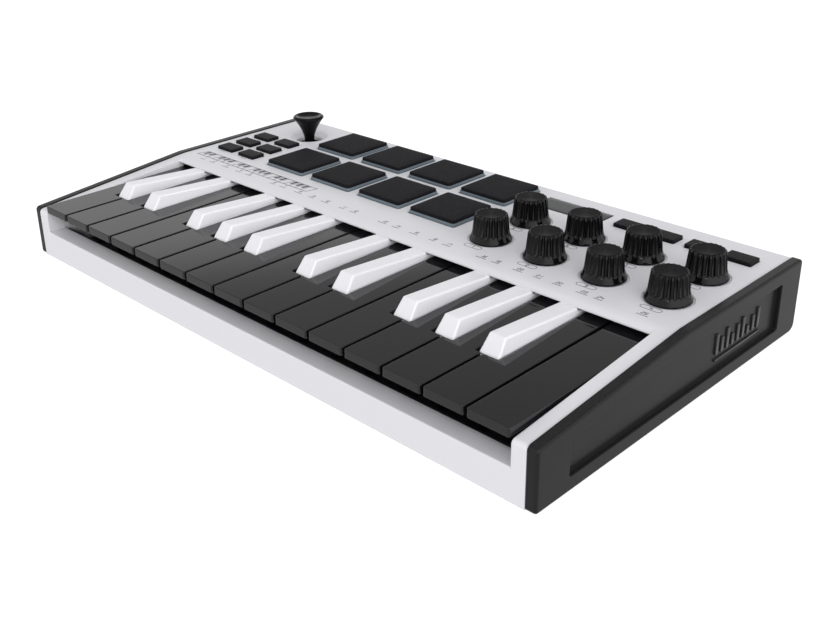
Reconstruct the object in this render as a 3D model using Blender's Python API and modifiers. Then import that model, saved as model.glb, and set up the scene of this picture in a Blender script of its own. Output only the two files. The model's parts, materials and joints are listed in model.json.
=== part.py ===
"""A 25-key mini MIDI keyboard with eight drum pads, eight knobs, ten buttons and a thumbstick.

The frame has +X to the player's right, +Y to the back and +Z up, in metres.
The origin is on the surface that the feet rest on, under the middle of the case.
Places are given from the left side, the front edge and the underside of the case.
"""

import math

import bmesh
import bpy
from mathutils import Matrix, Vector

mm = 0.001

# Overall
overallWidth = 318.0 * mm
overallDepth = 177.0 * mm
panelHeight = 32.3 * mm  # top of the control panel above the underside
footHeight = 0.8 * mm
partGap = 0.3 * mm  # between pieces that rest on or in each other
flangeGap = 0.5 * mm  # between the panel and the flange of a pad or button

# Shell
wall = 2.2 * mm
cheekWidth = 6.43 * mm
cheekFrontHeight = 24.4 * mm
cheekCornerRadius = 2.0 * mm
kinkPlace = 88.3 * mm
ledgeHeight = 13.7 * mm
ledgeDepth = 9.0 * mm
openingBack = 81.0 * mm
lipBevelDepth = 3.3 * mm
lipBevelDrop = 0.7 * mm
bossRadius = 2.8 * mm
bossInset = 11.4 * mm  # from the side of the object to the centre of a corner boss
bossBack = 7.5 * mm  # from the back
innerBossesFromLeft = (48.5 * mm, 193.0 * mm)
innerBossFromFront = 130.0 * mm
bossHoleGap = 0.6 * mm
frontBossPlace = 6.1 * mm
frontBossSpacing = 110.0 * mm

# End panels
endPanelThickness = 4.36 * mm
endPanelLip = 0.6 * mm  # stands proud of the shell
endPanelEdge = 1.2 * mm
endPanelCornerRadius = 1.5 * mm
endPanelHeelRadius = 4.0 * mm
recessMargin = 6.1 * mm
recessFront = 17.8 * mm
recessBack = 16.7 * mm  # from the back
recessDepth = 2.0 * mm
studRadius = 2.0 * mm
studLength = 1.5 * mm  # how far the shell's locating studs stand out of its sides
studPlaces = (30.0 * mm, 88.0 * mm, 150.0 * mm)
studHeight = 12.0 * mm

# Bottom cover
coverThickness = 2.0 * mm
footRadius = 6.0 * mm
footInset = 24.0 * mm
footFront = 14.0 * mm
footBack = 17.0 * mm
screwHoleRadius = 1.6 * mm
screwHeadRadius = 2.9 * mm
screwHeadDepth = 1.2 * mm
standoffRadius = 2.6 * mm
standoffEndInset = 14.3 * mm  # from the ends of the board
middleStandoffsFromLeft = (129.0 * mm, 219.0 * mm)
standoffInset = 5.5 * mm  # from the board's front and back edges

# Keys
naturalCount = 15
keyGap = 1.0 * mm
keyDrop = 4.3 * mm  # natural tops below the panel
keyThickness = 3.7 * mm
keyCornerRadius = 0.6 * mm
naturalFront = 0.1 * mm
notchFront = 32.2 * mm
sharpWidth = 9.5 * mm
sharpTopWidth = 7.1 * mm
sharpHeight = 5.85 * mm  # above the natural tops, at the front
sharpRearHeight = 2.3 * mm
sharpFrontSlope = 5.1 * mm
sharpSkirt = 1.0 * mm  # straight sides below the natural tops
sharpTailRise = 1.0 * mm
sharpRearClearance = 0.4 * mm
# The number of naturals to the left of each sharp, and how far the sharp sits off their boundary.
sharpOffsets = {
    1: -1.45 * mm,
    2: 1.45 * mm,
    4: -2.2 * mm,
    5: 0.0 * mm,
    6: 2.2 * mm,
    8: -1.45 * mm,
    9: 1.45 * mm,
    11: -2.2 * mm,
    12: 0.0 * mm,
    13: 2.2 * mm,
}
hingePlace = 98.0 * mm
hingeDrop = 10.3 * mm  # hinge axis below the panel
barrelRadius = 2.2 * mm

# Keybed frame
framePlate = 2.0 * mm
frameSideGap = 0.5 * mm
frameFrontWall = 12.8 * mm  # its top above the underside
railFront = 94.2 * mm
railBackWall = 1.0 * mm  # behind the hinge channel
domeStripFront = 56.0 * mm
domeStripWidth = 10.0 * mm
domeStripDrop = 11.0 * mm  # its top below the natural tops
domeHeight = 3.2 * mm
domeRadius = 2.6 * mm
guideFront = 20.0 * mm
guideLength = 4.0 * mm
guideWidth = 1.2 * mm

# Circuit board
boardDrop = 14.7 * mm  # board top below the panel
boardThickness = 1.6 * mm
boardSideInset = 14.7 * mm
boardBackInset = 4.5 * mm

# Drum pads
padColumns = 4
padRows = 2
padPitchAcross = 34.8 * mm
padPitchBack = 35.7 * mm
padSpacingAcross = 7.2 * mm  # between the caps
padSpacingBack = 8.5 * mm
padWidth = padPitchAcross - padSpacingAcross
padDepth = padPitchBack - padSpacingBack
firstPadFromLeft = 68.6 * mm
firstPadFromFront = 120.6 * mm
padProud = 3.0 * mm
padEdge = 0.8 * mm
padBaseRise = 0.9 * mm
padBaseBorder = 0.5 * mm
padHoleGap = 0.4 * mm
padFlange = 1.0 * mm  # wider than the hole on each side
padFlangeThickness = 2.0 * mm
padTravel = 1.0 * mm
sensorThickness = 0.6 * mm
sensorWidth = 24.0 * mm

# Knobs
knobColumns = 4
knobPlaces = (108.2 * mm, 136.0 * mm)
knobPitch = 29.6 * mm
lastKnobFromRight = 21.4 * mm
knobBaseRadius = 9.5 * mm
knobNeckRadius = 8.45 * mm
knobTopRadius = 7.3 * mm
knobHeight = 11.9 * mm  # above the panel
knobBaseThickness = 0.8 * mm
knobFlareHeight = 2.4 * mm
knobTopEdge = 0.5 * mm
knobRecessDepth = 0.4 * mm
knobRecessBorder = 0.7 * mm
knobShaftRadius = 3.0 * mm
knobBoreGap = 0.7 * mm
encoderWidth = 12.0 * mm
encoderHeight = 6.5 * mm
encoderNose = 1.8 * mm  # top of its bush below the underside of the panel

# Buttons
buttonWidth = 12.4 * mm
buttonDepth = 7.8 * mm
buttonProud = 1.6 * mm
buttonHoleGap = 0.3 * mm
buttonFlange = 0.6 * mm
buttonFlangeThickness = 1.6 * mm
buttonStem = 3.0 * mm
buttonTravel = 0.8 * mm
leftButtonsFromLeft = (18.2 * mm, 36.3 * mm)
leftButtonsFromFront = (110.4 * mm, 122.9 * mm, 135.8 * mm)
rightButtonCount = 4
rightButtonPitch = 17.9 * mm
lastRightButtonFromRight = 19.0 * mm
rightButtonsFromFront = 160.0 * mm
switchWidth = 6.0 * mm
switchHeight = 3.5 * mm

# Display
displayFromRight = 104.2 * mm
displayFromFront = 160.3 * mm
displayWidth = 36.4 * mm
displayDepth = 13.4 * mm
displayThickness = 0.9 * mm
displayRebate = 1.7 * mm
displaySetback = 0.1 * mm

# Thumbstick
stickFromLeft = 33.8 * mm
stickFromFront = 154.8 * mm
stickHoleRadius = 7.0 * mm
dishRadius = 10.5 * mm
dishDepth = 2.0 * mm
stickPivotDrop = 8.0 * mm  # gimbal axes below the panel
stickHeight = 12.4 * mm  # above the panel
stickRimRadius = 8.7 * mm
stickRimDrop = 1.4 * mm
stickWaistRadius = 2.8 * mm
stickStemRadius = 2.0 * mm
stickHubRadius = 2.9 * mm
stickPinRadius = 0.9 * mm
yokeHalf = 5.5 * mm
yokeInner = 3.7 * mm
yokeHalfHeight = 2.0 * mm
yokePinRadius = 1.1 * mm
moduleInner = 8.5 * mm
moduleWall = 1.5 * mm
moduleFloor = 1.0 * mm
moduleRise = 2.2 * mm  # its rim above the gimbal axes

# Sockets
usbFromLeft = 60.0 * mm
usbWidth = 12.0 * mm
usbHeight = 11.0 * mm
usbLength = 16.0 * mm
usbHoleWidth = 8.4 * mm
usbHoleHeight = 7.8 * mm
usbHoleDepth = 12.0 * mm
jackFromLeft = 84.0 * mm
jackWidth = 14.0 * mm
jackHeight = 12.0 * mm
jackLength = 18.0 * mm
jackBushRadius = 4.7 * mm
jackBoreRadius = 3.3 * mm
jackBoreDepth = 17.0 * mm
socketSetback = 0.2 * mm
socketHoleGap = 0.4 * mm
socketWallGap = 1.0 * mm

# Derived places
caseHalf = overallWidth / 2 - endPanelThickness - partGap
openingHalf = caseHalf - cheekWidth
naturalPitch = 2 * openingHalf / naturalCount
naturalTop = panelHeight - keyDrop
panelUnder = panelHeight - wall
boardTop = panelHeight - boardDrop
boardUnder = boardTop - boardThickness
boardHalf = overallWidth / 2 - boardSideInset
boardFront = hingePlace + barrelRadius + partGap + railBackWall + partGap
boardBack = overallDepth - boardBackInset
hingeHeight = panelHeight - hingeDrop
stickPivot = panelHeight - stickPivotDrop
knobBottom = panelHeight - knobRecessDepth + partGap
encoderTop = panelUnder - encoderNose
jackAxisHeight = boardUnder - jackHeight / 2
padFlangeTop = panelUnder - flangeGap
padFoot = boardTop + sensorThickness + padTravel + partGap
buttonFlangeTop = panelUnder - flangeGap
buttonFoot = boardTop + switchHeight + buttonTravel + partGap
beyond = 20.0 * mm  # how far a cutter runs past what it cuts


def fromLeft(place):
    return place - overallWidth / 2


def fromRight(place):
    return overallWidth / 2 - place


def fromFront(place):
    return place - overallDepth / 2


def fromUnder(place):
    return place + footHeight


def clearScene():
    for obj in list(bpy.data.objects):
        bpy.data.objects.remove(obj)


def newCollection(name):
    collection = bpy.data.collections.new(name)
    bpy.context.scene.collection.children.link(collection)
    return collection


def newMaterial(name, colour, roughness, metallic=0.0, transmission=0.0):
    material = bpy.data.materials.new(name)
    material.use_nodes = True
    shader = material.node_tree.nodes["Principled BSDF"]
    shader.inputs["Base Color"].default_value = (*colour, 1.0)
    shader.inputs["Roughness"].default_value = roughness
    shader.inputs["Metallic"].default_value = metallic
    shader.inputs["Transmission Weight"].default_value = transmission
    material.diffuse_color = (*colour, 1.0)
    return material


clearScene()
partCollection = newCollection("midi_keyboard")
cutterCollection = newCollection("cutters")
shellWhite = newMaterial("shell_white", (0.78, 0.78, 0.8), 0.45)
endPanelBlack = newMaterial("end_panel_black", (0.045, 0.045, 0.047), 0.42)
keyBlack = newMaterial("natural_key_black", (0.02, 0.02, 0.022), 0.12)
keyWhite = newMaterial("sharp_key_white", (0.8, 0.8, 0.82), 0.35)
padRubber = newMaterial("pad_rubber", (0.03, 0.03, 0.033), 0.65)
knobBlack = newMaterial("knob_black", (0.012, 0.012, 0.013), 0.2)
buttonBlack = newMaterial("button_rubber", (0.03, 0.03, 0.032), 0.6)
frameBlack = newMaterial("frame_black", (0.02, 0.02, 0.02), 0.6)
boardGreen = newMaterial("circuit_board", (0.02, 0.09, 0.04), 0.5)
windowSmoke = newMaterial("display_window", (0.03, 0.035, 0.04), 0.08)


def addBox(bm, low, high):
    """Adds a box between two corners."""
    size = [end - start for start, end in zip(low, high)]
    middle = [(end + start) / 2 for start, end in zip(low, high)]
    place = Matrix.Translation(middle) @ Matrix.Diagonal((*size, 1.0))
    bmesh.ops.create_cube(bm, size=1.0, matrix=place)


def addBlock(bm, across, back, halfWidth, halfDepth, bottom, top):
    """Adds a box centred over a point of the plan."""
    addBox(
        bm,
        (across - halfWidth, back - halfDepth, bottom),
        (across + halfWidth, back + halfDepth, top),
    )


turnTo = {
    "X": Matrix.Rotation(math.pi / 2, 4, "Y"),
    "Y": Matrix.Rotation(-math.pi / 2, 4, "X"),
    "Z": Matrix.Identity(4),
}


def addRod(bm, axis, start, length, radius, segments=24, endRadius=None):
    """Adds a cylinder, or a cone, that runs from start along a positive axis."""
    step = turnTo[axis] @ Vector((0.0, 0.0, length / 2))
    bmesh.ops.create_cone(
        bm,
        cap_ends=True,
        segments=segments,
        radius1=radius,
        radius2=radius if endRadius is None else endRadius,
        depth=length,
        matrix=Matrix.Translation(Vector(start) + step) @ turnTo[axis],
    )


def meshFrom(bm, name):
    mesh = bpy.data.meshes.new(name)
    bm.to_mesh(mesh)
    bm.free()
    return mesh


def addPart(name, mesh, material, location=(0.0, 0.0, 0.0)):
    """Makes one node of the object."""
    part = bpy.data.objects.new(name, mesh)
    part.location = location
    if not mesh.materials:
        mesh.materials.append(material)
    partCollection.objects.link(part)
    return part


def operand(target, mesh, operation):
    """Joins a mesh to the target, or cuts it away. The mesh is in the target's own space."""
    helper = bpy.data.objects.new(mesh.name, mesh)
    helper.location = target.location
    helper.hide_render = True
    helper.display_type = "WIRE"
    cutterCollection.objects.link(helper)
    modifier = target.modifiers.new(mesh.name, "BOOLEAN")
    modifier.operation = operation
    modifier.solver = "EXACT"
    modifier.object = helper


def join(target, bm, name):
    operand(target, meshFrom(bm, name), "UNION")


def cut(target, bm, name):
    operand(target, meshFrom(bm, name), "DIFFERENCE")


def applied(part):
    """Gives the finished mesh of a part, so that its copies can share it."""
    bpy.context.view_layer.update()
    graph = bpy.context.evaluated_depsgraph_get()
    mesh = bpy.data.meshes.new_from_object(part.evaluated_get(graph))
    for modifier in list(part.modifiers):
        helper = getattr(modifier, "object", None)
        part.modifiers.remove(modifier)
        if helper:
            bpy.data.objects.remove(helper)
    part.data = mesh
    return mesh


def rounded(corners, steps=4):
    """Turns (x, y, radius) corners into outline points, with each corner as an arc."""
    points = []
    for index, (x, y, radius) in enumerate(corners):
        here = Vector((x, y))
        before = (Vector(corners[index - 1][:2]) - here).normalized()
        after = (Vector(corners[(index + 1) % len(corners)][:2]) - here).normalized()
        if radius <= 0.0:
            points.append(here)
            continue
        half = before.angle(after) / 2
        centre = here + (before + after).normalized() * (radius / math.sin(half))
        start = here + before * (radius / math.tan(half)) - centre
        finish = here + after * (radius / math.tan(half)) - centre
        sweep = start.angle_signed(finish)
        for step in range(steps + 1):
            points.append(centre + Matrix.Rotation(-sweep * step / steps, 2) @ start)
    return points


def outlineMesh(name, loops, thickness, place):
    """Makes a plate from flat closed outlines. Its middle plane is the plane of place."""
    curve = bpy.data.curves.new(name, "CURVE")
    curve.dimensions = "2D"
    curve.fill_mode = "BOTH"
    curve.extrude = thickness / 2
    for loop in loops:
        spline = curve.splines.new("POLY")
        spline.points.add(len(loop) - 1)
        for point, (x, y) in zip(spline.points, loop):
            point.co = (x, y, 0.0, 1.0)
        spline.use_cyclic_u = True
    holder = bpy.data.objects.new(name, curve)
    bpy.context.scene.collection.objects.link(holder)
    bpy.context.view_layer.update()
    graph = bpy.context.evaluated_depsgraph_get()
    mesh = bpy.data.meshes.new_from_object(holder.evaluated_get(graph))
    bpy.data.objects.remove(holder)
    bm = bmesh.new()
    bm.from_mesh(mesh)
    bmesh.ops.remove_doubles(bm, verts=bm.verts, dist=0.01 * mm)
    bmesh.ops.transform(bm, matrix=place, verts=bm.verts)
    bmesh.ops.recalc_face_normals(bm, faces=bm.faces)
    bm.to_mesh(mesh)
    bm.free()
    return mesh


def sideways(across):
    """Puts an outline drawn as (back, up) in the upright plane at a given X."""
    return Matrix(((0, 0, 1, across), (1, 0, 0, 0), (0, 1, 0, 0), (0, 0, 0, 1)))


def sideOutline(corners, steps=4):
    """Rounds corners given as (from the front, from the underside, radius)."""
    places = [(fromFront(back), fromUnder(up), radius) for back, up, radius in corners]
    return rounded(places, steps)


def shellTopAt(back):
    """Height of the shell above the underside: it slopes up to the kink and is flat behind it."""
    rise = panelHeight - cheekFrontHeight
    return cheekFrontHeight + rise * min(back / kinkPlace, 1.0)


def sharpPlaces():
    """Gives each sharp's centre across the object, by the natural boundary that it sits on."""
    return {
        boundary: -openingHalf + boundary * naturalPitch + offset
        for boundary, offset in sharpOffsets.items()
    }


def naturalSpan(index):
    """Front edges, and tail edges between the sharps, of one natural."""
    left = -openingHalf + index * naturalPitch + keyGap / 2
    right = -openingHalf + (index + 1) * naturalPitch - keyGap / 2
    notchHalf = sharpWidth / 2 + keyGap
    sharps = sharpPlaces()
    tailLeft = sharps[index] + notchHalf if index in sharps else left
    tailRight = sharps[index + 1] - notchHalf if index + 1 in sharps else right
    return left, right, tailLeft, tailRight


def padCentres():
    for row in range(padRows):
        for column in range(padColumns):
            yield (
                fromLeft(firstPadFromLeft + column * padPitchAcross),
                fromFront(firstPadFromFront + row * padPitchBack),
            )


def knobCentres():
    for place in knobPlaces:
        for column in reversed(range(knobColumns)):
            yield fromRight(lastKnobFromRight + column * knobPitch), fromFront(place)


def leftButtonCentres():
    for back in reversed(leftButtonsFromFront):
        for across in leftButtonsFromLeft:
            yield fromLeft(across), fromFront(back)


def rightButtonCentres():
    for column in reversed(range(rightButtonCount)):
        across = fromRight(lastRightButtonFromRight + column * rightButtonPitch)
        yield across, fromFront(rightButtonsFromFront)


def displayCentre():
    return fromRight(displayFromRight), fromFront(displayFromFront)


def stickCentre():
    return fromLeft(stickFromLeft), fromFront(stickFromFront)


def rearBosses():
    for side in (-1, 1):
        yield side * (overallWidth / 2 - bossInset), fromFront(overallDepth - bossBack)
    yield from innerBosses()


def innerBosses():
    for across in innerBossesFromLeft:
        yield fromLeft(across), fromFront(innerBossFromFront)


def standoffCentres():
    end = boardHalf - standoffEndInset
    middle = [fromLeft(across) for across in middleStandoffsFromLeft]
    for y in (fromFront(boardFront + standoffInset), fromFront(boardBack - standoffInset)):
        for x in (-end, *middle, end):
            yield x, y


def frontBosses():
    for column in (-1, 0, 1):
        yield column * frontBossSpacing, fromFront(frontBossPlace)


def studCentres():
    """Gives the low-X end and the Y of each locating stud on the sides of the shell."""
    for side in (-1, 1):
        for back in studPlaces:
            yield min(side * (caseHalf - wall / 2), side * (caseHalf + studLength)), fromFront(back)


def feetPlaces():
    for side in (-1, 1):
        for back in (footFront, overallDepth - footBack):
            yield side * (overallWidth / 2 - footInset), fromFront(back)


def buildTopCase():
    """The white shell: panel, cheeks, front lip with its ledge, and back wall, open below."""
    profile = sideOutline(
        [
            (0.0, 0.0, 0.0),
            (overallDepth, 0.0, 0.0),
            (overallDepth, panelHeight, cheekCornerRadius / 2),
            (kinkPlace, panelHeight, 0.0),
            (0.0, cheekFrontHeight, cheekCornerRadius),
        ]
    )
    mesh = outlineMesh("top_case", [profile], 2 * caseHalf, sideways(0.0))
    case = addPart("top_case", mesh, shellWhite)

    keyRoom = [
        (-beyond, ledgeHeight),
        (ledgeDepth, ledgeHeight),
        (ledgeDepth, ledgeHeight - wall),
        (wall, ledgeHeight - wall),
        (wall, -beyond),
        (openingBack, -beyond),
        (openingBack, shellTopAt(openingBack) - lipBevelDrop),
        (openingBack + lipBevelDepth, shellTopAt(openingBack + lipBevelDepth)),
        (openingBack, panelHeight + beyond),
        (-beyond, panelHeight + beyond),
    ]
    loop = [(fromFront(back), fromUnder(up)) for back, up in keyRoom]
    roomMesh = outlineMesh("key_room", [loop], 2 * openingHalf, sideways(0.0))
    operand(case, roomMesh, "DIFFERENCE")

    bm = bmesh.new()
    addBox(
        bm,
        (-caseHalf + wall, fromFront(openingBack - partGap), fromUnder(-beyond)),
        (caseHalf - wall, fromFront(overallDepth - wall), fromUnder(panelUnder)),
    )
    cut(case, bm, "rear_room")

    bm = bmesh.new()
    stickX, stickY = stickCentre()
    dishUnder = panelUnder - dishDepth
    start = (stickX, stickY, fromUnder(dishUnder))
    addRod(bm, "Z", start, dishDepth + wall / 4, dishRadius + wall, 24)
    for x, y in rearBosses():
        low = coverThickness + partGap
        height = panelUnder + wall / 2 - low
        addRod(bm, "Z", (x, y, fromUnder(low)), height, bossRadius, 10)
    for x, y in frontBosses():
        low = coverThickness + partGap
        height = ledgeHeight - wall / 2 - low
        addRod(bm, "Z", (x, y, fromUnder(low)), height, bossRadius - partGap, 10)
    for x, y in studCentres():
        addRod(bm, "X", (x, y, fromUnder(studHeight)), studLength + wall / 2, studRadius, 10)
    join(case, bm, "dish_bosses_and_studs")

    bm = bmesh.new()
    top = fromUnder(panelHeight + beyond)
    low = fromUnder(panelUnder - beyond / 4)
    padHalfX = padWidth / 2 + padBaseBorder + padHoleGap
    padHalfY = padDepth / 2 + padBaseBorder + padHoleGap
    for x, y in padCentres():
        addBlock(bm, x, y, padHalfX, padHalfY, low, top)
    buttonHalfX = buttonWidth / 2 + buttonHoleGap
    buttonHalfY = buttonDepth / 2 + buttonHoleGap
    for x, y in [*leftButtonCentres(), *rightButtonCentres()]:
        addBlock(bm, x, y, buttonHalfX, buttonHalfY, low, top)
    x, y = displayCentre()
    windowHalfX = displayWidth / 2 - displayRebate
    windowHalfY = displayDepth / 2 - displayRebate
    addBlock(bm, x, y, windowHalfX, windowHalfY, low, top)
    for x, y in knobCentres():
        addRod(bm, "Z", (x, y, low), top - low, knobShaftRadius + knobBoreGap, 12)
    addRod(bm, "Z", (stickX, stickY, fromUnder(dishUnder - wall)), beyond, stickHoleRadius, 24)
    cut(case, bm, "panel_holes")

    bm = bmesh.new()
    for x, y in knobCentres():
        low = fromUnder(panelHeight - knobRecessDepth)
        addRod(bm, "Z", (x, y, low), beyond, knobBaseRadius + knobRecessBorder, 28)
    x, y = displayCentre()
    rebateHalfX = displayWidth / 2 + partGap
    rebateHalfY = displayDepth / 2 + partGap
    low = fromUnder(panelHeight - displaySetback - displayThickness - partGap)
    addBlock(bm, x, y, rebateHalfX, rebateHalfY, low, top)
    slope = (dishRadius - stickHoleRadius) / dishDepth
    addRod(
        bm,
        "Z",
        (stickX, stickY, fromUnder(panelHeight - dishDepth)),
        2 * dishDepth,
        stickHoleRadius,
        24,
        stickHoleRadius + 2 * dishDepth * slope,
    )
    cut(case, bm, "panel_recesses")

    bm = bmesh.new()
    backWall = fromFront(overallDepth - wall - partGap)
    addBox(
        bm,
        (
            fromLeft(usbFromLeft) - usbWidth / 2 - socketHoleGap,
            backWall,
            fromUnder(boardUnder - usbHeight - socketHoleGap),
        ),
        (
            fromLeft(usbFromLeft) + usbWidth / 2 + socketHoleGap,
            backWall + beyond,
            fromUnder(boardUnder + socketHoleGap),
        ),
    )
    start = (fromLeft(jackFromLeft), backWall, fromUnder(jackAxisHeight))
    addRod(bm, "Y", start, beyond, jackBushRadius + socketHoleGap, 16)
    cut(case, bm, "socket_holes")


def buildBottomCover():
    """The flat bottom cover, with feet, screw holes and the standoffs under the board."""
    low = fromUnder(0.0)
    high = fromUnder(coverThickness)
    frontHalf = openingHalf - partGap
    rearHalf = caseHalf - wall - partGap
    bm = bmesh.new()
    addBox(
        bm,
        (-rearHalf, fromFront(openingBack + partGap), low),
        (rearHalf, fromFront(overallDepth - wall - partGap), high),
    )
    cover = addPart("bottom_cover", meshFrom(bm, "bottom_cover"), shellWhite)
    bm = bmesh.new()
    addBox(
        bm,
        (-frontHalf, fromFront(wall + partGap), low),
        (frontHalf, fromFront(openingBack + wall), high),
    )
    join(cover, bm, "cover_front")

    bm = bmesh.new()
    for x, y in feetPlaces():
        addRod(bm, "Z", (x, y, 0.0), footHeight + coverThickness / 2, footRadius, 16)
    join(cover, bm, "feet")
    bm = bmesh.new()
    low = coverThickness / 2
    height = boardUnder - partGap - low
    for x, y in standoffCentres():
        addRod(bm, "Z", (x, y, fromUnder(low)), height, standoffRadius, 8)
    join(cover, bm, "standoffs")

    bm = bmesh.new()
    for x, y in [*rearBosses(), *frontBosses()]:
        addRod(bm, "Z", (x, y, fromUnder(-wall)), wall + screwHeadDepth, screwHeadRadius, 12)
    cut(cover, bm, "screw_heads")
    bm = bmesh.new()
    for x, y in [*rearBosses(), *frontBosses()]:
        addRod(bm, "Z", (x, y, 0.0), 2 * coverThickness + footHeight, screwHoleRadius, 8)
    cut(cover, bm, "screw_holes")


def endPanelCorners(margin, cornerRadius):
    """The end panel's outline, drawn in from its edge by a margin."""
    top = panelHeight + endPanelLip - margin
    frontTop = cheekFrontHeight + endPanelLip - margin
    return [
        (margin, margin, cornerRadius),
        (overallDepth - margin, margin, endPanelHeelRadius),
        (overallDepth - margin, top, cornerRadius),
        (kinkPlace, top, 0.0),
        (margin, frontTop, cheekCornerRadius),
    ]


def buildEndPanel(name, side):
    """An end panel with a rounded outer edge, a recess, and sockets for the shell's studs."""
    middle = side * (overallWidth / 2 - endPanelThickness / 2)
    loop = sideOutline(endPanelCorners(0.0, endPanelCornerRadius))
    mesh = outlineMesh(name, [loop], endPanelThickness, sideways(middle))
    outer = side * overallWidth / 2
    bm = bmesh.new()
    bm.from_mesh(mesh)
    bmesh.ops.dissolve_limit(bm, angle_limit=0.001, verts=bm.verts, edges=bm.edges)
    rim = [
        edge
        for edge in bm.edges
        if all(abs(vert.co.x - outer) < 0.01 * mm for vert in edge.verts)
    ]
    bmesh.ops.bevel(
        bm,
        geom=rim,
        offset=endPanelEdge,
        offset_type="OFFSET",
        segments=3,
        profile=0.5,
        affect="EDGES",
        clamp_overlap=True,
    )
    bm.to_mesh(mesh)
    bm.free()
    panel = addPart(name, mesh, endPanelBlack)

    bm = bmesh.new()
    for x, y in studCentres():
        if x * side > 0:
            start = (x - partGap, y, fromUnder(studHeight))
            length = studLength + wall / 2 + 2 * partGap
            addRod(bm, "X", start, length, studRadius + partGap, 10)
    cut(panel, bm, name + "_sockets")

    recessTop = endPanelLip - recessMargin
    corners = [
        (recessFront, recessMargin, 0.0),
        (overallDepth - recessBack, recessMargin, 0.0),
        (overallDepth - recessBack, panelHeight + recessTop, 0.0),
        (kinkPlace, panelHeight + recessTop, 0.0),
        (recessFront, shellTopAt(recessFront) + recessTop, 0.0),
    ]
    thickness = 2 * recessDepth
    recess = outlineMesh(name + "_recess", [sideOutline(corners)], thickness, sideways(outer))
    operand(panel, recess, "DIFFERENCE")


def buildKeybedFrame():
    """The black frame: floor, front wall, dome strip and hinge rail in one section, with guides."""
    low = coverThickness + partGap
    floor = low + framePlate
    front = ledgeDepth + partGap
    railBack = boardFront - partGap
    stripTop = naturalTop - domeStripDrop
    channel = barrelRadius + partGap
    section = [
        (front, low),
        (railBack, low),
        (railBack, hingeHeight),
    ]
    steps = 8
    for step in range(steps + 1):
        turn = -math.pi * step / steps
        section.append(
            (hingePlace + channel * math.cos(turn), hingeHeight + channel * math.sin(turn))
        )
    section += [
        (railFront, hingeHeight),
        (railFront, floor),
        (domeStripFront + domeStripWidth, floor),
        (domeStripFront + domeStripWidth, stripTop),
        (domeStripFront, stripTop),
        (domeStripFront, floor),
        (front + framePlate, floor),
        (front + framePlate, frameFrontWall),
        (front, frameFrontWall),
    ]
    loop = [(fromFront(back), fromUnder(up)) for back, up in section]
    width = 2 * (openingHalf - frameSideGap)
    mesh = outlineMesh("keybed_frame", [loop], width, sideways(0.0))
    frame = addPart("keybed_frame", mesh, frameBlack)

    bm = bmesh.new()
    domeRow = fromFront(domeStripFront + domeStripWidth / 2)
    centres = list(sharpPlaces().values())
    for index in range(naturalCount):
        _, _, tailLeft, tailRight = naturalSpan(index)
        centres.append((tailLeft + tailRight) / 2)
        middle = -openingHalf + (index + 0.5) * naturalPitch
        guide = fromFront(guideFront + guideLength / 2)
        guideTop = fromUnder(stripTop)
        guideLow = fromUnder(low + framePlate / 2)
        addBlock(bm, middle, guide, guideWidth / 2, guideLength / 2, guideLow, guideTop)
    for x in centres:
        start = (x, domeRow, fromUnder(stripTop - framePlate / 2))
        addRod(bm, "Z", start, domeHeight + framePlate / 2, domeRadius, 6)
    join(frame, bm, "domes_and_guides")


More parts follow.
